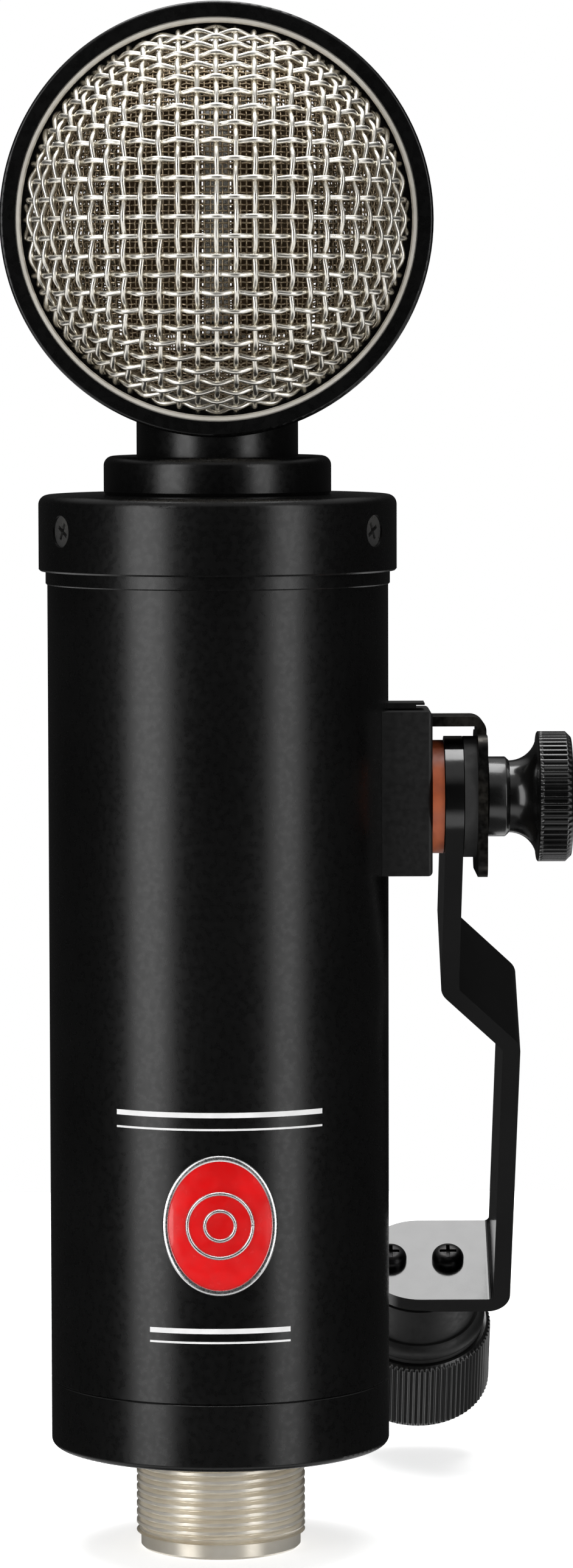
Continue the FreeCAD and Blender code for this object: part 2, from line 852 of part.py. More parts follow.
def make_motor():
    half = "window_half_height"
    frame = box(
        "motor_frame_block",
        "0",
        "0",
        "head_level - motor_half_height",
        "2 * motor_half_width",
        "magnet_depth",
        "2 * motor_half_height",
    )
    window = box(
        "motor_window",
        "0",
        "0",
        f"head_level - {half}",
        "2 * magnet_end",
        "2 * magnet_depth",
        f"2 * {half}",
    )
    sub_part("motor_frame", cut("motor_frame", frame, window))
    base = "head_level - magnet_length / 2"
    for side, sign in (("left", "-"), ("right", "")):
        magnet = box(
            f"magnet_{side}",
            f"{sign}(magnet_start + magnet_width / 2)",
            "0",
            base,
            "magnet_width",
            "magnet_depth",
            "magnet_length",
        )
        sub_part(f"magnet_{side}", magnet)
        pole = box(
            f"pole_piece_{side}",
            f"{sign}(pole_start + pole_width / 2)",
            "0",
            base,
            "pole_width",
            "pole_depth",
            "magnet_length",
        )
        sub_part(f"pole_piece_{side}", pole)
    blocks = []
    screws = []
    for end, level in (("top", "head_level + magnet_length / 2"), ("bottom", f"head_level - {half}")):
        for face, sign in (("front", "-"), ("rear", "")):
            middle = f"{sign}(ribbon_thickness / 2 + clamp_depth / 2)"
            block = box(
                f"clamp_{end}_{face}",
                "0",
                middle,
                level,
                "clamp_width",
                "clamp_depth",
                "clamp_height",
            )
            holes = [
                clamp_hole(f"clamp_hole_{end}_{face}_{offset}", offset, level)
                for offset in ("-1", "1")
            ]
            blocks.append(cut(f"clamp_{end}_{face}", block, *holes))
        for offset in ("-1", "1"):
            screw = small_screw(f"clamp_screw_{end}_{offset}", "clamp_screw_length")
            spot = (
                f"{offset} * clamp_screw_offset",
                "-ribbon_thickness / 2 - clamp_depth",
                f"{level} + clamp_height / 2",
            )
            screws.append(place(screw, *spot, FreeCAD.Rotation(FreeCAD.Vector(1, 0, 0), 90)))
    sub_part("ribbon_clamps", group("ribbon_clamps", blocks))
    sub_part("clamp_screws", group("clamp_screws", screws))
    make_motor_seat()


def clamp_hole(name, offset, level):
    return cylinder(
        name,
        "small_screw_diameter / 2",
        "clamp_screw_length",
        x=f"{offset} * clamp_screw_offset",
        y="-ribbon_thickness / 2 - clamp_depth",
        z=f"{level} + clamp_height / 2",
        turn=ALONG_Y,
    )


def make_motor_seat():
    block = box(
        "saddle_block",
        "0",
        "0",
        "head_level - head_bore / 2",
        "saddle_width",
        "saddle_depth",
        "head_bore / 2 - saddle_top",
    )
    bed = cylinder(
        "saddle_bed", "head_bore / 2", "saddle_depth", y="-saddle_depth / 2", z="head_level",
        turn=ALONG_Y,
    )
    wiring = cylinder("saddle_hole", "lead_hole / 2", "head_bore", z="head_level - head_bore")
    fitted = common("saddle_fitted", block, bed)
    sub_part("motor_saddle", cut("motor_saddle", fitted, wiring))
    pads = [
        cylinder(
            f"pad_{side}",
            "pad_diameter / 2",
            "pad_height",
            x=f"{side} * pad_offset",
            z="head_level - saddle_top",
        )
        for side in (-1, 1)
    ]
    sub_part("isolator_pads", group("isolator_pads", pads))
    start = "board_level + board_length - header_inset"
    leads = [
        cylinder(
            f"motor_lead_{side}",
            "lead_diameter / 2",
            f"head_level - motor_half_height - ({start})",
            x=f"{side} * lead_spacing / 2",
            z=start,
        )
        for side in (-1, 1)
    ]
    sub_part("motor_leads", group("motor_leads", leads))


def make_ribbon():
    """A folded foil strip, flat where the clamps hold its ends."""
    half = value("magnet_length / 2")
    end = value("window_half_height")
    wave = value("ribbon_wave")
    thin = value("ribbon_thickness / 2")
    folds = int(value("ribbon_waves")) * 2
    middle = [(0.0, -end), (0.0, -half)]
    for fold in range(1, folds):
        middle.append((wave if fold % 2 else -wave, -half + 2 * half * fold / folds))
    middle += [(0.0, half), (0.0, end)]
    front = [FreeCAD.Vector(0, y - thin, z) for y, z in middle]
    rear = [FreeCAD.Vector(0, y + thin, z) for y, z in reversed(middle)]
    strip = Part.Face(Part.makePolygon(front + rear + front[:1]))
    foil = doc.addObject("Part::Feature", "ribbon")
    foil.Shape = strip.extrude(FreeCAD.Vector(value("ribbon_width"), 0, 0))
    sub_part("ribbon", place(foil, x="-ribbon_width / 2", z="head_level"))


# Chassis and electronics ----------------------------------------------------------------------


def make_chassis():
    plate = ring("chassis_disc", "plate_radius", "neck_bore / 2", "chassis_top", "cap_ceiling")
    inner_end = "spigot_inner - cap_screw_bite - flat_head_recess"
    holes = [
        place(
            cylinder(f"chassis_hole_{index}", "screw_diameter / 2", "2 * cap_screw_bite"), *spot
        )
        for index, spot in enumerate(cap_screw_places(inner_end))
    ]
    sub_part("chassis_top_plate", cut("chassis_top_plate", plate, *holes))
    bore = "base_plate_bore / 2"
    sub_part("base_plate", ring("base_plate", "plate_radius", bore, "base_seat", "base_top"))
    for side, sign in (("left", "-"), ("right", "")):
        rail = box(
            f"rail_{side}_bar",
            f"{sign}rail_offset",
            "rail_depth / 2",
            "base_top",
            "rail_width",
            "rail_depth",
            "rail_length",
        )
        holes = [
            board_hole(f"rail_{side}_hole_{end}", sign, end, "blind_margin", "rail_depth - blind_margin")
            for end in ("low", "high")
        ]
        sub_part(f"chassis_rail_{side}", cut(f"chassis_rail_{side}", rail, *holes))


def board_hole(name, sign, end, start, depth):
    return cylinder(
        name,
        "small_screw_diameter / 2",
        depth,
        x=f"{sign}rail_offset",
        y=start,
        z=BOARD_HOLE_RISE[end],
        turn=ALONG_Y,
    )


def make_board():
    board = box(
        "board_blank",
        "0",
        "board_front + board_thickness / 2",
        "board_level",
        "board_width",
        "board_thickness",
        "board_length",
    )
    holes = []
    screws = []
    for sign in ("-", ""):
        for end, level in BOARD_HOLE_RISE.items():
            name = f"{'left' if sign else 'right'}_{end}"
            holes.append(
                board_hole(f"board_hole_{name}", sign, end, "board_front", "board_thickness")
            )
            length = "board_thickness + rail_depth - blind_margin"
            screw = small_screw(f"board_screw_{name}", length)
            screws.append(place(screw, f"{sign}rail_offset", "board_rear", level, ALONG_Y))
    sub_part("circuit_board", cut("circuit_board", board, *holes))
    sub_part("board_screws", group("board_screws", screws))
    lift = "board_front - header_depth / 2"
    headers = {
        "output_header": "board_level + header_inset",
        "input_header": "board_level + board_length - header_inset - header_height",
    }
    for name, level in headers.items():
        header = box(name, "0", lift, level, "header_width", "header_depth", "header_height")
        sub_part(name, header)
    cans = [
        cylinder(
            f"capacitor_{step}",
            "capacitor_diameter / 2",
            "capacitor_length",
            y="board_rear",
            z=f"transformer_level + {step} * capacitor_pitch",
            turn=ALONG_Y,
        )
        for step in (-1, 0, 1)
    ]
    sub_part("capacitors", group("capacitors", cans))


def make_transformer():
    middle = "board_front - coil_overhang - core_depth / 2"
    level = "transformer_level - core_height / 2"
    core = box("core_block", "0", middle, level, "core_width", "core_depth", "core_height")
    slot = "(core_width - core_centre) / 2 - core_limb"
    reach = f"(core_centre / 2 + ({slot}) / 2)"
    opening = "core_height - 2 * core_limb"
    windows = [
        box(
            f"core_window_{number}",
            f"{sign}{reach}",
            middle,
            "transformer_level - core_height / 2 + core_limb",
            slot,
            "2 * core_depth",
            opening,
        )
        for number, sign in enumerate(("-", ""))
    ]
    sub_part("transformer_core", cut("transformer_core", core, *windows))
    coil_width = f"core_centre + 2 * ({slot}) - 2 * coil_clearance"
    coil_height = f"{opening} - 2 * coil_clearance"
    low = f"transformer_level - ({coil_height}) / 2"
    coil = box(
        "coil_block", "0", middle, low, coil_width, "core_depth + 2 * coil_overhang", coil_height
    )
    limb = box(
        "coil_hole",
        "0",
        middle,
        level,
        "core_centre + 2 * coil_clearance",
        "core_depth + 2 * coil_clearance",
        "core_height",
    )
    sub_part("transformer_winding", cut("transformer_winding", coil, limb))
    outer = box(
        "clamp_outer",
        "0",
        f"{middle} + coil_overhang / 2",
        level,
        "core_width + 2 * strap_thickness",
        "core_depth + coil_overhang",
        "core_height",
    )
    inner = box(
        "clamp_inner",
        "0",
        f"{middle} + coil_overhang / 2",
        f"{level} - core_limb",
        "core_width",
        "2 * core_depth",
        "core_height + 2 * core_limb",
    )
    sub_part("transformer_clamp", cut("transformer_clamp", outer, inner))


# Badge ----------------------------------------------------------------------------------------


def oval_prism(name, half_width, half_height):
    """An upright oval, long enough to pass through the front wall of the tube."""
    oval = doc.addObject("Part::Ellipse", name + "_oval")
    bind(oval, MajorRadius=half_height, MinorRadius=half_width)
    oval.Placement.Rotation = FreeCAD.Rotation(FreeCAD.Vector(0, 0, 1), 90)
    prism = doc.addObject("Part::Extrusion", name)
    prism.Base = oval
    prism.DirMode = "Custom"
    prism.Dir = FreeCAD.Vector(0, 0, 1)
    prism.Solid = True
    bind(prism, LengthFwd="body_diameter")
    return place(prism, z="badge_level", turn=FreeCAD.Rotation(FreeCAD.Vector(1, 0, 0), 90))


def badge_skin(name, rise):
    low = "badge_level - 2 * badge_half_height"
    high = "badge_level + 2 * badge_half_height"
    return ring(name, f"body_radius + {rise}", "body_radius", low, high)


def make_badge():
    field = ("badge_half_width - badge_rim", "badge_half_height - badge_rim")
    plaque = common(
        "badge_plaque",
        badge_skin("badge_rim_skin", "badge_rim_rise"),
        oval_prism("badge_outline", "badge_half_width", "badge_half_height"),
    )
    sub_part("badge_rim", cut("badge_rim", plaque, oval_prism("badge_hole", *field)))
    enamel = common(
        "badge_enamel",
        badge_skin("badge_enamel_skin", "badge_enamel_rise"),
        oval_prism("badge_field", *field),
    )
    sub_part("badge_enamel", enamel)


# Swivel mount ---------------------------------------------------------------------------------


def make_mount_block():
    body = padded(
        "mount_block_body",
        "XY_Plane",
        [
            ("body_radius - block_depth", "-block_width / 2"),
            ("block_face", "-block_width / 2"),
            ("block_face", "block_width / 2"),
            ("body_radius - block_depth", "block_width / 2"),
        ],
        "block_above + block_below",
    )
    outer = value("block_face")
    rounded(body, "block_round", lambda edge: edge.CenterOfMass.x > outer - EDGE_TOLERANCE)
    place(body, z="pivot_level + (block_above - block_below) / 2")
    tools = [
        cylinder("block_bed", "body_radius", "tube_length", z="seam_level"),
        cylinder("stud_bore", "stud_hole", "block_depth", x="stud_start - stud_end_gap",
                 z="pivot_level", turn=ALONG_X),
        box(
            "keeper_slot",
            "block_face",
            "0",
            "pivot_level + keeper_above - keeper_thickness - slot_clearance",
            "2 * slot_depth",
            "tab_width + 2 * slot_clearance",
            "keeper_thickness + 2 * slot_clearance",
        ),
    ]
    for number, side in enumerate("+-"):
        level = f"pivot_level {side} block_screw_rise"
        depth = "body_wall / 2 + block_screw_bite"
        hole = cylinder(f"block_hole_{number}", "screw_diameter / 2", depth,
                        x="body_radius - body_wall / 2", z=level, turn=ALONG_X)
        tools.append(hole)
    sub_part("mount_block", cut("mount_block", body, *tools))
    inward = FreeCAD.Rotation(FreeCAD.Vector(0, 1, 0), -90)
    screws = []
    for number, side in enumerate("+-"):
        screw = pan_screw(f"block_screw_{number}", "body_wall + block_screw_bite")
        seat = "tube_inner - block_screw_sink"
        spot = (seat, "0", f"pivot_level {side} block_screw_rise", inward)
        screws.append(place(screw, *spot))
    sub_part("mount_block_screws", group("mount_block_screws", screws))


def make_mount_shim():
    level = "block_top + shim_gap"
    lower = box("shim_lower", "body_radius", "0", level, "2 * shim_length", "shim_width",
                "shim_thickness")
    upper = box("shim_upper", "body_radius", "0", f"{level} + shim_thickness",
                "2 * shim_lip_length", "shim_width", "shim_lip_thickness")
    bed = cylinder("shim_bed", "body_radius", "tube_length", z="seam_level")
    sub_part("mount_shim", cut("mount_shim", joined("shim_layers", lower, upper), bed))


def make_washers():
    washers = {
        "friction_washer": ("friction_washer_diameter", "friction_washer_thickness", "block_face"),
        "pressure_washer": ("bracket_width", "pressure_washer_thickness", "pressure_face"),
    }
    for name, (diameter, thickness, face) in washers.items():
        disc = ring(name, f"{diameter} / 2", "stud_hole", "0", thickness)
        sub_part(name, place(disc, x=face, z="pivot_level", turn=ALONG_X))


def make_keeper_plate():
    tab_end = "block_face - tab_reach"
    under = "keeper_above - keeper_thickness"
    points = [
        (tab_end, under),
        ("keeper_inner", under),
        ("keeper_inner", "keeper_shoulder - keeper_thickness"),
        ("keeper_outer", "keeper_shoulder - keeper_thickness"),
        ("keeper_outer", "keeper_above - keeper_bend", "keeper_bend"),
        ("keeper_outer - keeper_bend", "keeper_above"),
        (tab_end, "keeper_above"),
    ]
    tab = place(padded("keeper_tab", "XZ_Plane", points, "tab_width"), z="pivot_level")
    plate = padded(
        "keeper_face",
        "XZ_Plane",
        [
            ("keeper_inner", "-keeper_below"),
            ("keeper_outer", "-keeper_below"),
            ("keeper_outer", "keeper_shoulder"),
            ("keeper_inner", "keeper_shoulder"),
        ],
        "keeper_width",
    )
    rounded(plate, "keeper_bend", lambda edge: runs_along(edge, FreeCAD.Vector(1, 0, 0)))
    place(plate, z="pivot_level")
    hole = cylinder("keeper_hole", "stud_hole", "keeper_thickness", x="keeper_inner",
                    z="pivot_level", turn=ALONG_X)
    sub_part("keeper_plate", cut("keeper_plate", joined("keeper_pieces", tab, plate), hole))


def make_thumbscrew():
    rim = "knob_diameter / 2"
    hub = "knob_hub_diameter / 2"
    waist = "knob_groove_diameter / 2"
    bore = "stud_diameter / 2"
    points = [
        (bore, "0"),
        (hub, "0"),
        (hub, "knob_hub_length"),
        (waist, "knob_waist", "-knob_flare_radius"),
        (f"{waist} + knob_flare_radius", "knob_rim"),
        (rim, f"knob_rim + {rim} - {waist} - knob_flare_radius"),
        (rim, "knob_length - knob_chamfer"),
        (f"{rim} - knob_chamfer", "knob_length"),
        ("0", "knob_length"),
        ("0", "knob_rim"),
        (bore, "knob_rim"),
    ]
    knob = place(turned("thumbscrew_knob", points), x="knob_start", z="pivot_level", turn=ALONG_X)
    sub_part("thumbscrew_knob", knob)
    stud = cylinder("thumbscrew_stud", "stud_diameter / 2", "knob_start + knob_rim - stud_start",
                    x="stud_start", z="pivot_level", turn=ALONG_X)
    sub_part("thumbscrew_stud", stud)


# Stand bracket --------------------------------------------------------------------------------


def make_stand_bracket():
    """A bent strap: it drops from the pivot, jogs outward and turns in under the body."""
    half = "bracket_width / 2"
    low_inner = "bracket_inner + jog_offset"
    low_outer = "bracket_outer + jog_offset"
    jog_end = "jog_start + jog_drop"
    plate_end = "adapter_line - bracket_width / 2"
    points = [
        ("bracket_inner", half),
        ("bracket_inner", "-jog_start"),
        (low_inner, f"-({jog_end})"),
        (low_inner, "-plate_drop"),
        (plate_end, "-plate_drop"),
        (plate_end, "-plate_under"),
        (low_outer, "-plate_under"),
        (low_outer, f"-({jog_end}) + jog_shift"),
        ("bracket_outer", "-jog_start + jog_shift"),
        ("bracket_outer", half),
    ]
    strap = padded("stand_bracket_strap", "XZ_Plane", points, "bracket_width")
    top = value(half)
    under = value("plate_under")
    end = value(plate_end)
    convex = (
        ("bracket_inner", "-jog_start"),
        (low_outer, f"-({jog_end}) + jog_shift"),
        (low_outer, "-plate_under"),
    )
    concave = (
        ("bracket_outer", "-jog_start + jog_shift"),
        (low_inner, f"-({jog_end})"),
        (low_inner, "-plate_drop"),
    )

    def lies_at(corners):
        """A test for edges across the strap whose middles are at the corners."""
        spots = [FreeCAD.Vector(value(x), 0, value(z)) for x, z in corners]
        return lambda edge: any(
            edge.CenterOfMass.distanceToPoint(spot) < EDGE_TOLERANCE for spot in spots
        )

    def at_free_end(edge):
        middle = edge.CenterOfMass
        at_top = runs_along(edge, FreeCAD.Vector(1, 0, 0)) and middle.z > top - EDGE_TOLERANCE
        at_plate = runs_along(edge, FreeCAD.Vector(0, 0, 1)) and middle.x < end + EDGE_TOLERANCE
        return at_top or (at_plate and middle.z > -under)

    rounded(strap, "bend_round + bracket_thickness", lies_at(convex))
    rounded(strap, "bend_round", lies_at(concave))
    rounded(strap, "bracket_width / 2 - seat_clearance", at_free_end)
    pivot_hole = cylinder("bracket_pivot_hole", "stud_hole", "2 * bracket_thickness",
                          x="bracket_inner - bracket_thickness / 2", turn=ALONG_X)
    screw_holes = [
        cylinder(f"bracket_screw_hole_{number}", "screw_diameter / 2", "2 * bracket_thickness",
                 x=f"adapter_line {side} bracket_screw_offset",
                 z="-plate_under - bracket_thickness / 2")
        for number, side in enumerate("+-")
    ]
    sub_part("stand_bracket", hang(cut("stand_bracket", strap, pivot_hole, *screw_holes)))


def make_adapter():
    """The hub screwed under the bracket's plate, with the stand ring turning on its spigot."""
    hub = "hub_diameter / 2"
    shoulder = "shoulder_diameter / 2"
    spigot = "spigot_diameter / 2"
    below = "hub_height + shoulder_height"
    tail = f"{below} + face_clearance"
    points = [
        ("0", "0"),
        (hub, "0"),
        (hub, "-hub_height + shoulder_rise"),
        (f"{hub} + shoulder_ledge", "-hub_height + shoulder_rise", "-shoulder_round"),
        (shoulder, f"-({below}) + shoulder_edge"),
        (shoulder, f"-({below})"),
        (spigot, f"-({below})"),
        (spigot, f"-({tail} + clip_start)"),
        (f"{spigot} - clip_groove", f"-({tail} + clip_start)"),
        (f"{spigot} - clip_groove", f"-({tail} + clip_end)"),
        (spigot, f"-({tail} + clip_end)"),
        (spigot, f"-({tail} + spigot_end)"),
        ("0", f"-({tail} + spigot_end)"),
    ]
    body = turned("adapter_hub_turned", points)
    depth = "hub_screw_bite"
    holes = [
        cylinder(f"hub_hole_{number}", "screw_diameter / 2", depth,
                 x=f"{side}bracket_screw_offset", z=f"-{depth}")
        for number, side in enumerate(("", "-"))
    ]
    sub_part("adapter_hub", hang(cut("adapter_hub", body, *holes), "adapter_line", "plate_under"))
    screws = [
        place(pan_screw(f"bracket_screw_{number}", f"bracket_thickness + {depth}"),
              x=f"{side}bracket_screw_offset")
        for number, side in enumerate(("", "-"))
    ]
    screws = group("bracket_screws", screws)
    sub_part("bracket_screws", hang(screws, "adapter_line", "plate_drop"))
    make_stand_ring(spigot)


def make_stand_ring(spigot):
    outer = "ring_diameter / 2"
    cavity = "clip_radius + cavity_clearance"
    points = [
        (f"{spigot} + fit_clearance", "0"),
        (f"{outer} - ring_chamfer", "0"),
        (outer, "-ring_chamfer"),
        (outer, "-ring_height + ring_chamfer"),
        (f"{outer} - ring_chamfer", "-ring_height"),
        ("ring_bore / 2", "-ring_height"),
        ("ring_bore / 2", "-cavity_end"),
        (cavity, "-cavity_end"),
        (cavity, "-ring_lip"),
        (f"{spigot} + fit_clearance", "-ring_lip"),
    ]
    sub_part("stand_ring", hang(turned("stand_ring", points), "adapter_line", "ring_start"))
    clip = ring("ring_clip_disc", "clip_radius", f"{spigot} - clip_groove", "-clip_end",
                "-clip_start")
    gap = box("ring_clip_gap", "0", "clip_radius", "-clip_end", "clip_gap", "2 * clip_radius",
              "clip_thickness")
    sub_part("ring_clip", hang(cut("ring_clip", clip, gap), "adapter_line", "ring_start"))


make_body_tube()
make_bottom_cap()
make_top_cap()
make_thread_collar()
make_connector()
make_neck()
make_head_ring()
make_grilles()
make_motor()
make_ribbon()
make_chassis()
make_board()
make_transformer()
make_badge()
make_mount_block()
make_mount_shim()
make_washers()
make_keeper_plate()
make_thumbscrew()
make_stand_bracket()
make_adapter()
doc.recompute()

for thing in doc.Objects:
    if "Invalid" in thing.State or "Error" in thing.State:
        raise RuntimeError(f"{thing.Name} ({thing.Label}) failed: {thing.State}")
os.makedirs("parts", exist_ok=True)
for label, thing in sub_parts.items():
    if thing.Shape.isNull() or not thing.Shape.isValid() or not thing.Shape.Solids:
        raise RuntimeError(f"{label} has no sound shape")
for label, thing in sub_parts.items():
    thing.Shape.exportStep(f"parts/{label}.step")
print(len(sub_parts), "sub-parts written")
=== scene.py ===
import json
import math

import bmesh
import bpy
import numpy as np
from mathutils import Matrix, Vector


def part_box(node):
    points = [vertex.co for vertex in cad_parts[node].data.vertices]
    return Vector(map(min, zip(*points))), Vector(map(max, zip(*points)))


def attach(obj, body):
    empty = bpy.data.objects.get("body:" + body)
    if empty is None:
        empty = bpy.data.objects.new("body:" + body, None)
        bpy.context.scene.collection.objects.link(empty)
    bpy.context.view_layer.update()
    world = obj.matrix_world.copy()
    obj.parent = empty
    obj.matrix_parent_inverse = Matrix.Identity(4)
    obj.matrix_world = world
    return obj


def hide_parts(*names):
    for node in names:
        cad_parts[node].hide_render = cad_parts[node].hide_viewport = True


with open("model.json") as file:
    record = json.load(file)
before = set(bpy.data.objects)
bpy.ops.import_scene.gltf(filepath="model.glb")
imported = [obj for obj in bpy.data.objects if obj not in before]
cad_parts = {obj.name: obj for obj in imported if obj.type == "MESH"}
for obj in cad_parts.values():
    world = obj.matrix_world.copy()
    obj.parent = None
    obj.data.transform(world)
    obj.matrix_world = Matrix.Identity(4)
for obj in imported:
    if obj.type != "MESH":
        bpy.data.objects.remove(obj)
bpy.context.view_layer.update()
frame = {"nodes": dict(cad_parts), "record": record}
rng = np.random.default_rng(7)

# Sizes in metres, along the CAD model's own axes: front -Y, up +Z, swivel mount on +X.
MM = 0.001

# Coarse and fine woven wires, and the domes they lie on.
WIRE_RADIUS = 0.48 * MM
WIRE_CRIMP = 0.44 * MM
WIRE_PITCH = 3.28 * MM
WIRE_MARGIN = 1.0 * MM
FINE_WIRE_RADIUS = 0.17 * MM
FINE_CRIMP = 0.15 * MM
FINE_PITCH = 1.02 * MM
FINE_MARGIN = 0.4 * MM
DOME_CENTRE = 5.3 * MM
FLANGE_FACE = {"outer": 12.7 * MM, "inner": 11.3 * MM}
NET_REACH = math.radians(100)
# How far, on a unit sphere, a wire is laid past the dome's edge before it is trimmed.
WIRE_RUN_ON = 0.12
SHORTEST_WIRE = 4
# Scatter of the crossings, as a share of the pitch.
WIRE_UNEVENNESS = 0.012

# Threaded collar. The crest and groove are shares of the pitch, from the middle of the crest.
THREAD_PITCH = 1.5 * MM
THREAD_DEPTH = 0.85 * MM
THREAD_FLANK = 0.30
THREAD_GROOVE = 0.48
THREAD_RUN_IN = 0.7
THREAD_ROWS = 246
THREAD_COLUMNS = 160
COLLAR_CREST = 15.0 * MM
COLLAR_LIP = 14.2 * MM
COLLAR_WAIST = 14.1 * MM
COLLAR_BORE = 9.5 * MM
COLLAR_CHAMFER = 0.4 * MM
COLLAR_THREAD_START = 2.8 * MM
COLLAR_THREAD_END = 18.2 * MM
COLLAR_FLANGE = 2.5 * MM

# Thumbscrew, from its hub to its fluted rim.
FLUTE_DEPTH = 0.42 * MM
KNOB_FLUTES = 62
KNOB_CHAMFER = 1.0 * MM
KNOB_HUB = 7.05 * MM
KNOB_HUB_LENGTH = 3.3 * MM
KNOB_WAIST = 6.35 * MM
KNOB_BORE = 3.0 * MM
KNOB_FLARE = 4.9 * MM
KNOB_FLARE_START = 4.0 * MM

# Stand ring, from its neck to its open end.
RING_FLUTES = 84
RING_HEIGHT = 16.0 * MM
RING_CHAMFER = 0.8 * MM
RING_NECK = 8.55 * MM
RING_CAVITY = 10.25 * MM
RING_CAVITY_START = 3.6 * MM
RING_CAVITY_END = 6.4 * MM
RING_BORE_CHAMFER = 0.5 * MM

# Badge and print, on the skin of the tube.
BODY_RADIUS = 30.0 * MM
BADGE_HALF_WIDTH = 10.0 * MM
BADGE_HALF_HEIGHT = 12.2 * MM
BADGE_RIM = 1.05 * MM
BADGE_COLUMNS = 120
ENAMEL_RINGS = 14
ENAMEL_EDGE_RISE = 0.30 * MM
ENAMEL_SWELL = 0.14 * MM
FIGURE_RADII = (5.6 * MM, 2.6 * MM)
FIGURE_RISE = 0.42 * MM
FIGURE_WIRE = 0.36 * MM
PRINT_RISES = (0.004 * MM, 0.02 * MM)
PRINT_COLUMNS = 40
# Each printed rule: height above the floor, width and thickness.
PRINTED_RULES = (
    (80.9 * MM, 38.0 * MM, 0.9 * MM),
    (78.4 * MM, 38.0 * MM, 0.35 * MM),
    (43.4 * MM, 25.0 * MM, 0.9 * MM),
    (41.4 * MM, 25.0 * MM, 0.35 * MM),
)

# Studio. Each soft box: name, place, width, height and power in watts.
FLOOR_HALF = 0.42
PAPER_GLOW = 0.62
LIGHT_TARGET = (0, 0, 0.14)
SOFT_BOXES = (
    ("left_box", (-0.95, -0.887, 0.30), 0.62, 1.3, 8.6),
    ("right_box", (0.935, -0.903, 0.30), 0.46, 1.3, 5.2),
    ("top_box", (0.0, 0.12, 1.20), 0.9, 0.7, 12),
)
# The room's grey from straight down, 0, to straight up, 1.
ROOM_BANDS = ((0.065, 0.12), (0.11, 1.0), (0.22, 1.0), (0.33, 0.02), (0.72, 0.02), (0.86, 0.5))
CAMERA_LENS = 130.3
CAMERA_PLACE = (0.0, -0.998, 0.2132)
CAMERA_DEGREES = (90 - 4.44, 0.14, -0.70)


def centre_of(node):
    low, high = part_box(node)
    return (Vector(low) + Vector(high)) / 2


# Materials --------------------------------------------------------------------------------------


class Surface:
    """A procedural material: two tones, two roughnesses and a bump, all from noise."""

    def __init__(self, name, metallic=0.0, **shader):
        self.material = bpy.data.materials.new(name)
        self.material.use_nodes = True
        self.nodes = self.material.node_tree.nodes
        self.links = self.material.node_tree.links
        self.bsdf = self.nodes["Principled BSDF"]
        self.bsdf.inputs["Metallic"].default_value = metallic
        for socket, amount in shader.items():
            self.bsdf.inputs[socket.replace("_", " ")].default_value = amount
        coordinates = self.nodes.new("ShaderNodeTexCoord")
        self.position = coordinates.outputs["Object"]
        self.height = None

    def stretched(self, scale):
        """Object coordinates in metres, scaled along each axis."""
        mapping = self.nodes.new("ShaderNodeMapping")
        mapping.inputs["Scale"].default_value = scale
        self.links.new(self.position, mapping.inputs["Vector"])
        return mapping.outputs["Vector"]

    def noise(self, scale, detail=3.0, stretch=None):
        node = self.nodes.new("ShaderNodeTexNoise")
        node.inputs["Scale"].default_value = scale
        node.inputs["Detail"].default_value = detail
        place = self.stretched(stretch) if stretch else self.position
        self.links.new(place, node.inputs["Vector"])
        return node.outputs["Fac"]

    def ramp(self, factor, low, high, start=0.35, end=0.65):
        node = self.nodes.new("ShaderNodeValToRGB")
        node.color_ramp.elements[0].position = start
        node.color_ramp.elements[1].position = end
        for element, tone in zip(node.color_ramp.elements, (low, high)):
            element.color = (*tone, 1) if isinstance(tone, tuple) else (tone, tone, tone, 1)
        self.links.new(factor, node.inputs["Fac"])
        return node.outputs["Color"]

    def tones(self, factor, low, high, start=0.35, end=0.65):
        self.links.new(self.ramp(factor, low, high, start, end), self.bsdf.inputs["Base Color"])
        return self

    def rough(self, factor, low, high):
        self.links.new(self.ramp(factor, low, high), self.bsdf.inputs["Roughness"])
        return self

    def bump(self, factor, distance, strength=1.0):
        """Adds a bump over any earlier one; distance is in metres."""
        node = self.nodes.new("ShaderNodeBump")
        node.inputs["Distance"].default_value = distance
        node.inputs["Strength"].default_value = strength
        self.links.new(factor, node.inputs["Height"])
        if self.height:
            self.links.new(self.height, node.inputs["Normal"])
        self.height = node.outputs["Normal"]
        self.links.new(self.height, self.bsdf.inputs["Normal"])
        return self


def anodised(name, low, high, rough_low, rough_high):
    """Blasted and anodised aluminium: a very fine even grain."""
    made = Surface(name, Specular_IOR_Level=0.42)
    made.tones(made.noise(60, 4), low, high)
    made.rough(made.noise(900, 2), rough_low, rough_high)
    made.bump(made.noise(5200, 2), 0.012 * MM, 0.5)
    return made.bump(made.noise(140, 3), 0.01 * MM, 0.2)


def painted(name, tone_low, tone_high, rough_low, rough_high, orange_peel):
    """Glossy enamel over steel, with a faint orange-peel texture."""
    made = Surface(name, Coat_Weight=0.5, Coat_Roughness=0.12)
    made.tones(made.noise(80), tone_low, tone_high)
    made.rough(made.noise(350), rough_low, rough_high)
    return made.bump(made.noise(650, 2), orange_peel, 0.6)


def metal(name, low, high, rough_low, rough_high, grain=1800, stretch=None, depth=0.006 * MM,
          metallic=1.0):
    """Bare or plated metal, with fine marks that a stretch draws out into lines."""
    made = Surface(name, metallic)
    made.tones(made.noise(120, 4), low, high)
    made.rough(made.noise(grain, 3, stretch), rough_low, rough_high)
    return made.bump(made.noise(grain, 2, stretch), depth, 0.6)


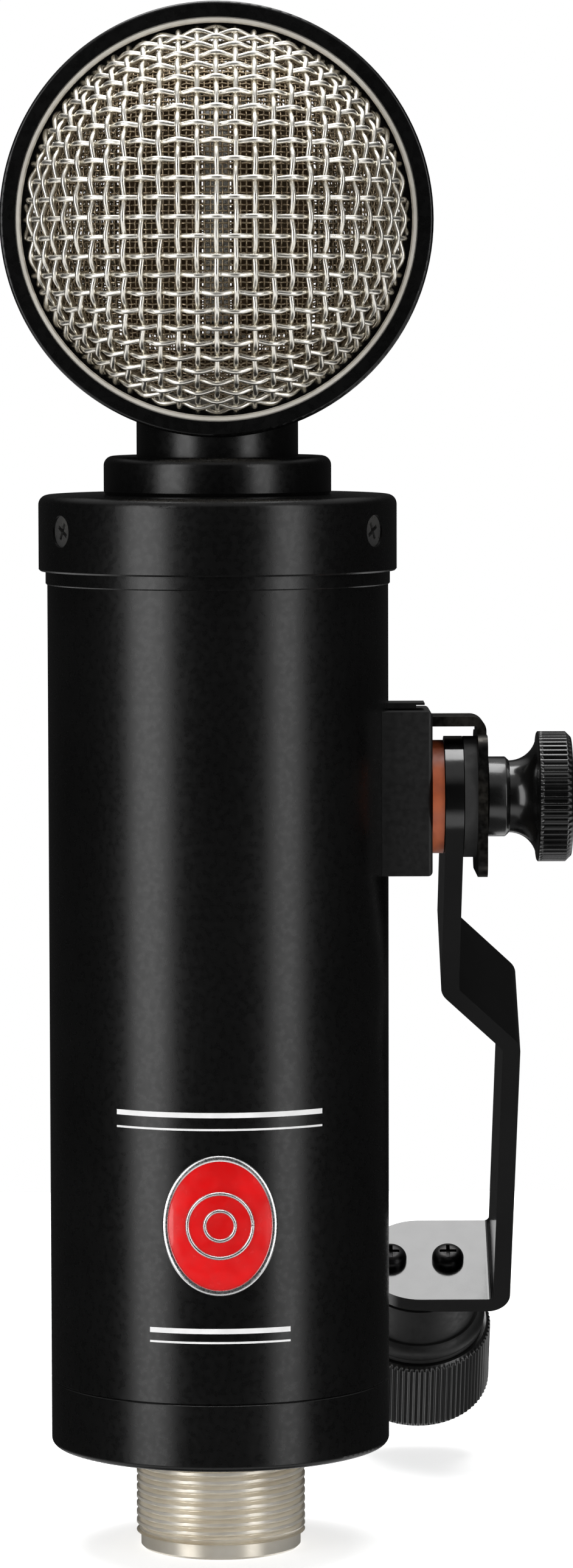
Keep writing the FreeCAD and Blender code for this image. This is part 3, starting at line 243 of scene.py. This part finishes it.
def moulded(name, low, high, rough_low, rough_high, grain=1500, depth=0.02 * MM):
    """Plastic, rubber or fibre with a moulded skin."""
    made = Surface(name)
    made.tones(made.noise(220, 4), low, high)
    made.rough(made.noise(500), rough_low, rough_high)
    return made.bump(made.noise(grain, 2), depth, 0.7)


def make_materials():
    turned = (1, 1, 14)
    made = {
        "body": anodised("anodised_black", (0.0016,) * 3, (0.0026,) * 3, 0.26, 0.32),
        "cap": anodised("anodised_cap", (0.0018,) * 3, (0.0028,) * 3, 0.25, 0.31),
        "head": anodised("anodised_head", (0.0016,) * 3, (0.0026,) * 3, 0.25, 0.31),
        "block": anodised("blasted_block", (0.004,) * 3, (0.008,) * 3, 0.42, 0.55),
        "paint": painted("bracket_enamel", (0.0018,) * 3, (0.003,) * 3, 0.13, 0.2, 0.03 * MM),
        "knob": painted("knob_enamel", (0.0018,) * 3, (0.003,) * 3, 0.2, 0.3, 0.02 * MM),
        "oxide": metal("black_oxide", (0.012, 0.012, 0.013), (0.03, 0.029, 0.028), 0.28, 0.42),
        "keeper": metal("keeper_steel", (0.02, 0.02, 0.02), (0.05, 0.046, 0.04), 0.3, 0.5, 900),
        "wire": metal("nickel_wire", (0.93, 0.89, 0.80), (1.0, 0.97, 0.89), 0.27, 0.38, 2500),
        "fine_wire": metal("fine_wire", (0.30, 0.235, 0.16), (0.46, 0.38, 0.27), 0.26, 0.36, 2500),
        "trim": metal("trim_nickel", (0.80, 0.76, 0.68), (0.92, 0.88, 0.80), 0.46, 0.62, 4200,
                      None, 0.04 * MM, 0.55),
        "collar": metal("collar_nickel", (0.80, 0.74, 0.63), (0.92, 0.87, 0.77), 0.28, 0.42, 1500,
                        turned, 0.006 * MM, 0.66),
        "screw": metal("cap_screw_steel", (0.05, 0.05, 0.05), (0.10, 0.097, 0.09), 0.26, 0.38,
                       metallic=0.35),
        "ring": painted("ring_enamel", (0.0014,) * 3, (0.0024,) * 3, 0.34, 0.46, 0.02 * MM),
        "steel": metal("plain_steel", (0.45, 0.45, 0.45), (0.6, 0.6, 0.6), 0.25, 0.4),
        "alloy": metal("plain_alloy", (0.6, 0.6, 0.6), (0.72, 0.72, 0.72), 0.3, 0.45, 900,
                       (1, 1, 9)),
        "magnet": metal("magnet_plating", (0.10, 0.075, 0.05), (0.17, 0.13, 0.09), 0.3, 0.45),
        "pole": metal("motor_steel", (0.09, 0.06, 0.04), (0.16, 0.11, 0.07), 0.32, 0.5),
        "foil": metal("ribbon_foil", (0.75, 0.76, 0.78), (0.86, 0.87, 0.88), 0.2, 0.3),
        "gold": metal("gold_plating", (0.85, 0.58, 0.22), (0.95, 0.7, 0.32), 0.18, 0.28),
        "copper": metal("copper_winding", (0.5, 0.2, 0.07), (0.68, 0.3, 0.12), 0.3, 0.45, 1600,
                        (1, 1, 20)),
        "fibre": moulded("terracotta_fibre", (0.27, 0.052, 0.014), (0.40, 0.085, 0.022), 0.42,
                         0.6, 700, 0.05 * MM),
        "rubber": moulded("black_rubber", (0.010,) * 3, (0.018,) * 3, 0.55, 0.75),
        "insulator": moulded("black_insulator", (0.012,) * 3, (0.022,) * 3, 0.4, 0.55),
        "board": moulded("solder_mask", (0.006, 0.07, 0.02), (0.01, 0.11, 0.035), 0.25, 0.4, 300),
        "header": moulded("header_nylon", (0.6, 0.58, 0.52), (0.72, 0.7, 0.63), 0.4, 0.55),
        "can": moulded("can_sleeve", (0.01, 0.02, 0.09), (0.015, 0.035, 0.14), 0.2, 0.3, 300),
        "lead": moulded("lead_sleeve", (0.3, 0.01, 0.01), (0.42, 0.02, 0.02), 0.35, 0.5, 400),
        "print": moulded("white_print", (0.72,) * 3, (0.82,) * 3, 0.5, 0.62, 2600, 0.01 * MM),
        "silver": metal("badge_silver", (0.80,) * 3, (0.9,) * 3, 0.22, 0.34, 3000),
    }
    enamel = Surface("red_enamel", Coat_Weight=0.6, Coat_Roughness=0.04)
    enamel.tones(enamel.noise(180, 4), (0.60, 0.001, 0.0015), (0.74, 0.002, 0.003))
    enamel.rough(enamel.noise(400), 0.18, 0.28)
    made["enamel"] = enamel.bump(enamel.noise(260, 2), 0.02 * MM, 0.3)
    return {name: item.material for name, item in made.items()}


MATERIALS = make_materials()

CAD_FINISHES = {
    "body": ("body_tube", "bottom_cap"),
    "cap": ("top_cap", "neck_collar", "head_neck"),
    "head": ("head_ring",),
    "block": ("mount_block", "adapter_hub", "mount_shim"),
    "paint": ("stand_bracket",),
    "screw": ("top_cap_screws",),
    "oxide": ("bracket_screws", "mount_block_screws", "ring_clip",
              "thumbscrew_stud"),
    "keeper": ("keeper_plate",),
    "trim": ("front_trim_ring", "rear_trim_ring"),
    "collar": ("connector_shell",),
    "steel": ("board_screws", "clamp_screws", "collar_screws", "transformer_clamp",
              "transformer_core"),
    "alloy": ("chassis_top_plate", "chassis_rail_left", "chassis_rail_right", "base_plate",
              "motor_saddle"),
    "magnet": ("magnet_left", "magnet_right"),
    "pole": ("motor_frame", "pole_piece_left", "pole_piece_right"),
    "foil": ("ribbon",),
    "gold": ("connector_pins",),
    "copper": ("transformer_winding",),
    "fibre": ("friction_washer",),
    "rubber": ("pressure_washer", "isolator_pads"),
    "insulator": ("connector_insulator", "ribbon_clamps"),
    "board": ("circuit_board",),
    "header": ("input_header", "output_header"),
    "can": ("capacitors",),
    "lead": ("motor_leads", "output_leads"),
}

for finish, nodes in CAD_FINISHES.items():
    for node in nodes:
        slots = frame["nodes"][node].material_slots
        for slot in slots:
            slot.link = "OBJECT"
            slot.material = MATERIALS[finish]


# Meshes -----------------------------------------------------------------------------------------


def piece(name, vertices, faces, finish, body, replaces=(), smooth_angle=None):
    """A mesh piece that rides on a body, takes a finish and stands for some CAD nodes."""
    mesh = bpy.data.meshes.new(name)
    mesh.from_pydata([tuple(point) for point in vertices], [], faces)
    mesh.validate()
    mesh.update()
    thing = bpy.data.objects.new(name, mesh)
    bpy.context.scene.collection.objects.link(thing)
    mesh.materials.append(MATERIALS[finish])
    tidy = bmesh.new()
    tidy.from_mesh(mesh)
    bmesh.ops.recalc_face_normals(tidy, faces=tidy.faces)
    tidy.to_mesh(mesh)
    tidy.free()
    mesh.shade_smooth()
    if smooth_angle:
        mesh.set_sharp_from_angle(angle=math.radians(smooth_angle))
    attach(thing, body)
    if replaces:
        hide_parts(*replaces)
    return thing


def grid_faces(rows, columns, start=0, closed=True):
    """Quads between rows of points; a closed grid joins the last column to the first."""
    faces = []
    for row in range(rows - 1):
        for column in range(columns if closed else columns - 1):
            after = (column + 1) % columns
            low = start + row * columns
            high = low + columns
            faces.append((low + column, low + after, high + after, high + column))
    return faces


def tubes(paths, normals, radius, sides):
    """Round wires along paths, with the cross sections set out from a normal at each point."""
    turns = np.arange(sides) * 2 * math.pi / sides
    vertices = []
    faces = []
    total = 0
    for path, normal in zip(paths, normals):
        tangent = np.gradient(path, axis=0)
        tangent /= np.linalg.norm(tangent, axis=1, keepdims=True)
        side = np.cross(tangent, normal)
        side /= np.linalg.norm(side, axis=1, keepdims=True)
        up = np.cross(side, tangent)
        ring = (
            path[:, None, :]
            + radius * np.cos(turns)[None, :, None] * up[:, None, :]
            + radius * np.sin(turns)[None, :, None] * side[:, None, :]
        )
        count = len(path)
        vertices.append(ring.reshape(-1, 3))
        faces += grid_faces(count, sides, total)
        faces.append(tuple(range(total, total + sides)))
        faces.append(tuple(range(total + (count - 1) * sides, total + count * sides)))
        total += count * sides
    return np.concatenate(vertices), faces


# Woven grilles ----------------------------------------------------------------------------------


def draped_net(step, reach):
    """Crossings of a woven sheet pressed onto a unit sphere without stretching its wires.

    The two middle wires follow great circles through the crown (0, 0, 1). Every other crossing
    is one step along its wire from each of its two neighbours.
    """
    count = int(reach / step) + 3
    net = np.zeros((2 * count + 1, 2 * count + 1, 3))
    for index in range(-count, count + 1):
        turn = index * step
        net[count + index, count] = (math.sin(turn), 0, math.cos(turn))
        net[count, count + index] = (0, math.sin(turn), math.cos(turn))
    for sign_u in (-1, 1):
        for sign_v in (-1, 1):
            for u in range(1, count + 1):
                for v in range(1, count + 1):
                    first = net[count + sign_u * u, count + sign_v * (v - 1)]
                    second = net[count + sign_u * (u - 1), count + sign_v * v]
                    old = net[count + sign_u * (u - 1), count + sign_v * (v - 1)]
                    across = np.cross(first, second)
                    across /= max(np.linalg.norm(across), 1e-9)
                    found = old - 2 * np.dot(old, across) * across
                    net[count + sign_u * u, count + sign_v * v] = found
    return net, count


def run_above(row, count, limit):
    """The unbroken run of crossings about the middle one that stay above a height."""
    first = last = count
    while first > 0 and row[first - 1][2] > limit:
        first -= 1
    while last < 2 * count and row[last + 1][2] > limit:
        last += 1
    return list(range(first, last + 1)) if row[count][2] > limit else []


def wires_of(net, count, along_first, radius, amplitude, samples, edge, jitter):
    """Crimped wires through one family of crossings, as paths and normals on the sphere."""
    paths = []
    normals = []
    grid = net if along_first else net.transpose(1, 0, 2)
    steps = np.arange(samples) / samples
    for line in range(2 * count + 1):
        row = grid[:, line]
        inside = run_above(row, count, edge - WIRE_RUN_ON)
        if len(inside) < SHORTEST_WIRE:
            continue
        path = []
        lift = []
        last = len(inside) - 1
        knots = row[inside] + rng.normal(0, jitter, (len(inside), 3))
        for here in range(last):
            a, b, c, d = (knots[min(max(here + step, 0), last)] for step in (-1, 0, 1, 2))
            for t in steps:
                point = 0.5 * (
                    2 * b + (c - a) * t + (2 * a - 5 * b + 4 * c - d) * t**2
                    + (3 * b - a - 3 * c + d) * t**3
                )
                path.append(point / np.linalg.norm(point))
                parity = (inside[here] + line) % 2
                sign = 1 if parity == (0 if along_first else 1) else -1
                lift.append(sign * math.cos(math.pi * t))
        path = np.array(path)
        lift = np.array(lift)
        keep = path[:, 2] > edge
        if keep.sum() < SHORTEST_WIRE:
            continue
        path, lift = path[keep], lift[keep]
        paths.append(path * (radius + amplitude * lift)[:, None])
        normals.append(path)
    return paths, normals


def to_head(points, side):
    """Turns the crown of a dome from +Z to the front or the rear of the head."""
    way = -1 if side == "front" else 1
    return np.stack([points[:, 0], way * points[:, 2], points[:, 1]], axis=1)


def make_grille(side, layer, pitch, wire, crimp, sides, samples, finish, edge_margin):
    """The two wire families of one woven dome, inside its CAD shell."""
    node = f"{side}_grille_{layer}"
    low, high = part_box(node)
    crown = -low[1] if side == "front" else high[1]
    middle = crown - DOME_CENTRE - wire - crimp
    net, count = draped_net(pitch / middle, NET_REACH)
    edge = (FLANGE_FACE[layer] - edge_margin - DOME_CENTRE) / middle
    way = -1 if side == "front" else 1
    offset = np.array([0, way * DOME_CENTRE, centre_of("head_ring").z])
    for family, along_first in (("warp", True), ("weft", False)):
        paths, normals = wires_of(
            net, count, along_first, middle, crimp, samples, edge,
            WIRE_UNEVENNESS * pitch / middle
        )
        vertices, faces = tubes(
            [to_head(path, side) + offset for path in paths],
            [to_head(normal, side) for normal in normals],
            wire,
            sides,
        )
        stands_for = (node,) if family == "warp" else ()
        piece(f"{node}_{family}", vertices, faces, finish, "microphone",
              stands_for)


for side in ("front", "rear"):
    make_grille(side, "outer", WIRE_PITCH, WIRE_RADIUS, WIRE_CRIMP, 10, 6, "wire", WIRE_MARGIN)
    make_grille(side, "inner", FINE_PITCH, FINE_WIRE_RADIUS, FINE_CRIMP, 5, 2, "fine_wire",
                FINE_MARGIN)


# Turned pieces ----------------------------------------------------------------------------------


def lathe(profile, columns, shape=None):
    """Points turned about +Z from (radius, height) pairs; shape may change a radius with angle."""
    points = []
    for radius, height in profile:
        for column in range(columns):
            turn = 2 * math.pi * column / columns
            reach = shape(radius, height, turn) if shape else radius
            points.append((reach * math.cos(turn), reach * math.sin(turn), height))
    return np.array(points), grid_faces(len(profile), columns)


def make_thread_collar():
    """The threaded collar: a right-hand helix with narrow crests between a shoulder and a lip."""
    low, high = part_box("thread_collar")
    edge = low[2] + COLLAR_CHAMFER
    flange_low = high[2] - COLLAR_FLANGE
    span = COLLAR_THREAD_END - COLLAR_THREAD_START

    def helix(radius, height, turn):
        if radius != COLLAR_CREST or not COLLAR_THREAD_START < height < COLLAR_THREAD_END:
            return radius
        phase = (height / THREAD_PITCH - turn / (2 * math.pi)) % 1.0
        hill = min(1.0, max(0.0, (THREAD_GROOVE - abs(phase - 0.5)) / THREAD_FLANK))
        run_in = min(1.0, (height - COLLAR_THREAD_START) / (THREAD_RUN_IN * THREAD_PITCH))
        return radius - THREAD_DEPTH * (1 - hill * run_in)

    profile = [(COLLAR_BORE, edge), (COLLAR_BORE + COLLAR_CHAMFER, low[2])]
    profile += [(COLLAR_LIP - COLLAR_CHAMFER, low[2]), (COLLAR_LIP, edge)]
    profile.append((COLLAR_LIP, COLLAR_THREAD_START))
    profile += [
        (COLLAR_CREST, COLLAR_THREAD_START + span * row / THREAD_ROWS)
        for row in range(THREAD_ROWS + 1)
    ]
    profile += [(COLLAR_WAIST, COLLAR_THREAD_END), (COLLAR_WAIST, flange_low)]
    profile += [(high[0], flange_low), (high[0], high[2]), (COLLAR_BORE, high[2])]
    profile.append(profile[0])
    vertices, faces = lathe(profile, THREAD_COLUMNS, helix)
    piece("thread_collar_helix", vertices, faces, "collar", "microphone",
          ("thread_collar",), 28)


def fluted(rim, low, high, flutes, chamfer):
    """A radius rule for a rim with straight flutes that run out in its chamfers."""

    def shape(radius, height, turn):
        if radius < rim - 1.2 * chamfer or not low <= height <= high:
            return radius
        wave = 0.5 - 0.5 * math.cos(flutes * turn)
        fade = min(1.0, min(height - low, high - height) / (0.6 * chamfer))
        return radius - FLUTE_DEPTH * wave**1.5 * fade

    return shape


def make_thumbscrew():
    """The knurled knob: hub, waist, trumpet flare and fluted rim, turned about the pivot."""
    low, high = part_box("thumbscrew_knob")
    length = high[0] - low[0]
    rim = (high[2] - low[2]) / 2
    ease = 0.1 * MM
    rim_start = KNOB_FLARE_START + KNOB_FLARE
    straight = rim_start + 2 * ease
    chamfer_start = length - KNOB_CHAMFER
    profile = [(KNOB_BORE, 2 * ease), (KNOB_HUB - 3 * ease, 0), (KNOB_HUB, 3 * ease)]
    profile += [(KNOB_HUB, KNOB_HUB_LENGTH - ease), (KNOB_HUB - ease, KNOB_HUB_LENGTH + ease)]
    profile.append((KNOB_WAIST + ease, KNOB_FLARE_START - ease))
    for share in np.linspace(0, 1, 13):
        turn = math.pi / 2 * share
        profile.append((
            KNOB_WAIST + KNOB_FLARE * (1 - math.cos(turn)),
            KNOB_FLARE_START + KNOB_FLARE * math.sin(turn),
        ))
    profile.append((rim - ease, rim_start + ease))
    profile += [(rim, height) for height in np.linspace(straight, chamfer_start, 23)]
    for share in (0.25, 0.5, 0.75, 1.0):
        profile.append((rim - KNOB_CHAMFER * share, chamfer_start + KNOB_CHAMFER * share))
    profile += [(rim - 1.6 * KNOB_CHAMFER, length), (0.5 * rim, length), (ease / 10, length)]
    shape = fluted(rim, straight, length - 0.25 * KNOB_CHAMFER, KNOB_FLUTES, KNOB_CHAMFER)
    vertices, faces = lathe(profile, KNOB_FLUTES * 6, shape)
    turned = np.stack(
        [low[0] + vertices[:, 2], vertices[:, 1], centre_of("thumbscrew_knob").z + vertices[:, 0]],
        axis=1,
    )
    piece("thumbscrew_knob_fluted", turned, faces, "knob", "thumbscrew",
          ("thumbscrew_knob",), 32)


def make_stand_ring():
    """The knurled stand ring, turned about the adapter's tilted axis."""
    joint = next(item for item in frame["record"]["behaviour"]["joints"]
                 if item["name"] == "stand_ring_turn")
    mount = next(item for item in frame["record"]["mounts"] if item["name"] == "stand_thread")
    down = Vector(joint["axis"]).normalized()
    low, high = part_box("stand_ring")
    outer = (high[0] - low[0]) / 2
    bore = mount["dims"]["r_mm"] * MM
    end = Vector(mount["pos_m"]) + down * (mount["dims"]["length_mm"] * MM / 2)
    start = end - down * RING_HEIGHT
    body_end = RING_HEIGHT - RING_CHAMFER
    profile = [(RING_NECK, 0), (outer - RING_CHAMFER, 0)]
    for share in (0.35, 0.7, 1.0):
        profile.append((outer - RING_CHAMFER * (1 - share), RING_CHAMFER * share))
    profile += [(outer, height) for height in np.linspace(RING_CHAMFER, body_end, 27)[1:-1]]
    for share in (0, 0.35, 0.7, 1.0):
        profile.append((outer - RING_CHAMFER * share, body_end + RING_CHAMFER * share))
    profile.append((bore + RING_BORE_CHAMFER, RING_HEIGHT))
    profile.append((bore, RING_HEIGHT - RING_BORE_CHAMFER))
    profile += [(bore, RING_CAVITY_END), (RING_CAVITY, RING_CAVITY_END)]
    profile += [(RING_CAVITY, RING_CAVITY_START), (RING_NECK, RING_CAVITY_START), (RING_NECK, 0)]
    lead = 0.4 * RING_CHAMFER
    shape = fluted(outer, lead, RING_HEIGHT - lead, RING_FLUTES, RING_CHAMFER)
    vertices, faces = lathe(profile, RING_FLUTES * 5, shape)
    across = Vector((1, 0, 0))
    other = down.cross(across)
    basis = np.array([across, other, down])
    placed = vertices @ basis + np.array(start)
    piece("stand_ring_fluted", placed, faces, "ring", "ring", ("stand_ring",), 32)


make_thread_collar()
make_thumbscrew()
make_stand_ring()


# Badge and print --------------------------------------------------------------------------------


def on_body(across, up, rise):
    """A point on the front of the tube: across and up are lengths along its skin."""
    radius = BODY_RADIUS + rise
    turn = across / BODY_RADIUS
    return (radius * math.sin(turn), -radius * math.cos(turn), up)


def badge_oval(inset, rise):
    """A ring of points on the body, an inset in from the plaque's outer edge."""
    low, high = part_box("badge_rim")
    level = (low[2] + high[2]) / 2
    return [
        on_body(
            (BADGE_HALF_WIDTH - inset) * math.cos(turn),
            level + (BADGE_HALF_HEIGHT - inset) * math.sin(turn),
            rise,
        )
        for turn in np.arange(BADGE_COLUMNS) * 2 * math.pi / BADGE_COLUMNS
    ]


def make_badge_rim():
    """The plaque's silver border, rounded over the top."""
    sections = [(0.0, 0.02), (0.0, 0.45), (0.1, 0.6), (0.28, 0.68), (0.75, 0.68), (0.95, 0.6),
                (1.05, 0.42), (1.05, 0.02)]
    vertices = [point for inset, rise in sections for point in badge_oval(inset * MM, rise * MM)]
    faces = grid_faces(len(sections), BADGE_COLUMNS)
    piece("badge_rim_silver", vertices, faces, "silver", "microphone",
          ("badge_rim",), 35)


def make_badge_enamel():
    """Red enamel that swells a little towards the middle of the plaque."""
    vertices = []
    for ring in range(ENAMEL_RINGS):
        share = ring / ENAMEL_RINGS
        inset = BADGE_RIM + (BADGE_HALF_WIDTH - BADGE_RIM) * share
        rise = ENAMEL_EDGE_RISE + ENAMEL_SWELL * (1 - (1 - share) ** 2)
        vertices += badge_oval(inset, rise)
    faces = grid_faces(ENAMEL_RINGS, BADGE_COLUMNS)
    faces.append(tuple(range((ENAMEL_RINGS - 1) * BADGE_COLUMNS, ENAMEL_RINGS * BADGE_COLUMNS)))
    piece("badge_enamel_dome", vertices, faces, "enamel", "microphone",
          ("badge_enamel",), 60)


def make_badge_figure():
    """Two silver rings on the enamel, one inside the other."""
    low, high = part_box("badge_rim")
    level = (low[2] + high[2]) / 2
    rods = []
    outward = []
    for radius in FIGURE_RADII:
        turns = np.linspace(0, 2 * math.pi, 61)
        across = radius * np.cos(turns)
        up = level + radius * np.sin(turns)
        rods.append(np.array([on_body(x, z, FIGURE_RISE) for x, z in zip(across, up)]))
        lean = across / BODY_RADIUS
        outward.append(np.stack([np.sin(lean), -np.cos(lean), 0 * lean], axis=1))
    vertices, faces = tubes(rods, outward, FIGURE_WIRE, 10)
    piece("badge_figure", vertices, faces, "silver", "microphone")


def make_print():
    """Plain white printed rules above and below the badge."""
    row = PRINT_COLUMNS + 1
    vertices = []
    faces = []
    for level, width, thick in PRINTED_RULES:
        start = len(vertices)
        for up in (level - thick / 2, level + thick / 2):
            for rise in PRINT_RISES:
                vertices += [
                    on_body(across, up, rise)
                    for across in np.linspace(-width / 2, width / 2, row)
                ]
        for column in range(PRINT_COLUMNS):
            a, b, c, d = (start + line * row + column for line in range(4))
            faces += [(a, a + 1, b + 1, b), (c, d, d + 1, c + 1)]
            faces += [(b, b + 1, d + 1, d), (a, c, c + 1, a + 1)]
        for end in (start, start + PRINT_COLUMNS):
            faces.append((end, end + row, end + 3 * row, end + 2 * row))
    piece("printed_rules", vertices, faces, "print", "microphone", (), 30)


make_badge_rim()
make_badge_enamel()
make_badge_figure()
make_print()


# Studio -----------------------------------------------------------------------------------------


def area_light(name, place, width, height, power):
    """A soft box that shines on the object and that the camera doesn't see."""
    data = bpy.data.lights.new(name, "AREA")
    data.shape = "RECTANGLE"
    data.size = width
    data.size_y = height
    data.energy = power
    lamp = bpy.data.objects.new(name, data)
    lamp.location = place
    aim = Vector(LIGHT_TARGET) - Vector(place)
    lamp.rotation_euler = aim.to_track_quat("-Z", "Y").to_euler()
    lamp.visible_camera = False
    bpy.context.scene.collection.objects.link(lamp)


def make_floor():
    """A pale floor that glows a little, and that polished metal doesn't mirror."""
    mesh = bpy.data.meshes.new("studio_floor")
    corners = [(x, y, 0) for y in (-FLOOR_HALF, FLOOR_HALF) for x in (-FLOOR_HALF, FLOOR_HALF)]
    mesh.from_pydata(corners, [], [(0, 1, 3, 2)])
    floor = bpy.data.objects.new("studio_floor", mesh)
    bpy.context.scene.collection.objects.link(floor)
    paper = Surface("studio_paper")
    paper.tones(paper.noise(3), (0.93,) * 3, (0.95,) * 3)
    paper.rough(paper.noise(20), 0.85, 0.95)
    paper.bsdf.inputs["Emission Color"].default_value = (1, 1, 1, 1)
    paper.bsdf.inputs["Emission Strength"].default_value = PAPER_GLOW
    mesh.materials.append(paper.material)
    floor.visible_glossy = False


def make_room():
    """A room in bands of grey, white only where the camera sees it, so that black stays black."""
    world = bpy.data.worlds.new("studio_room")
    world.use_nodes = True
    nodes = world.node_tree.nodes
    links = world.node_tree.links
    dim = nodes["Background"]
    heading = nodes.new("ShaderNodeTexCoord")
    axes = nodes.new("ShaderNodeSeparateXYZ")
    rise = nodes.new("ShaderNodeMapRange")
    rise.inputs["From Min"].default_value = -1.0
    shade = nodes.new("ShaderNodeValToRGB")
    links.new(heading.outputs["Generated"], axes.inputs["Vector"])
    links.new(axes.outputs["Z"], rise.inputs["Value"])
    links.new(rise.outputs["Result"], shade.inputs["Fac"])
    links.new(shade.outputs["Color"], dim.inputs["Color"])
    stops = shade.color_ramp.elements
    for index, (height, tone) in enumerate(ROOM_BANDS):
        stop = stops[index] if index < 2 else stops.new(height)
        stop.position = height
        stop.color = (tone, tone, tone, 1)
    white = nodes.new("ShaderNodeBackground")
    white.inputs["Color"].default_value = (1, 1, 1, 1)
    rays = nodes.new("ShaderNodeLightPath")
    mix = nodes.new("ShaderNodeMixShader")
    links.new(rays.outputs["Is Camera Ray"], mix.inputs["Fac"])
    links.new(dim.outputs["Background"], mix.inputs[1])
    links.new(white.outputs["Background"], mix.inputs[2])
    links.new(mix.outputs["Shader"], nodes["World Output"].inputs["Surface"])
    bpy.context.scene.world = world


def make_camera():
    data = bpy.data.cameras.new("view")
    data.sensor_width = 36.0
    data.lens = CAMERA_LENS
    data.clip_start = 0.01
    data.clip_end = 20.0
    camera = bpy.data.objects.new("view", data)
    camera.location = CAMERA_PLACE
    camera.rotation_euler = [math.radians(angle) for angle in CAMERA_DEGREES]
    bpy.context.scene.collection.objects.link(camera)
    bpy.context.scene.camera = camera


make_floor()
for soft_box in SOFT_BOXES:
    area_light(*soft_box)
make_room()
make_camera()
bpy.context.scene.view_settings.view_transform = "Standard"
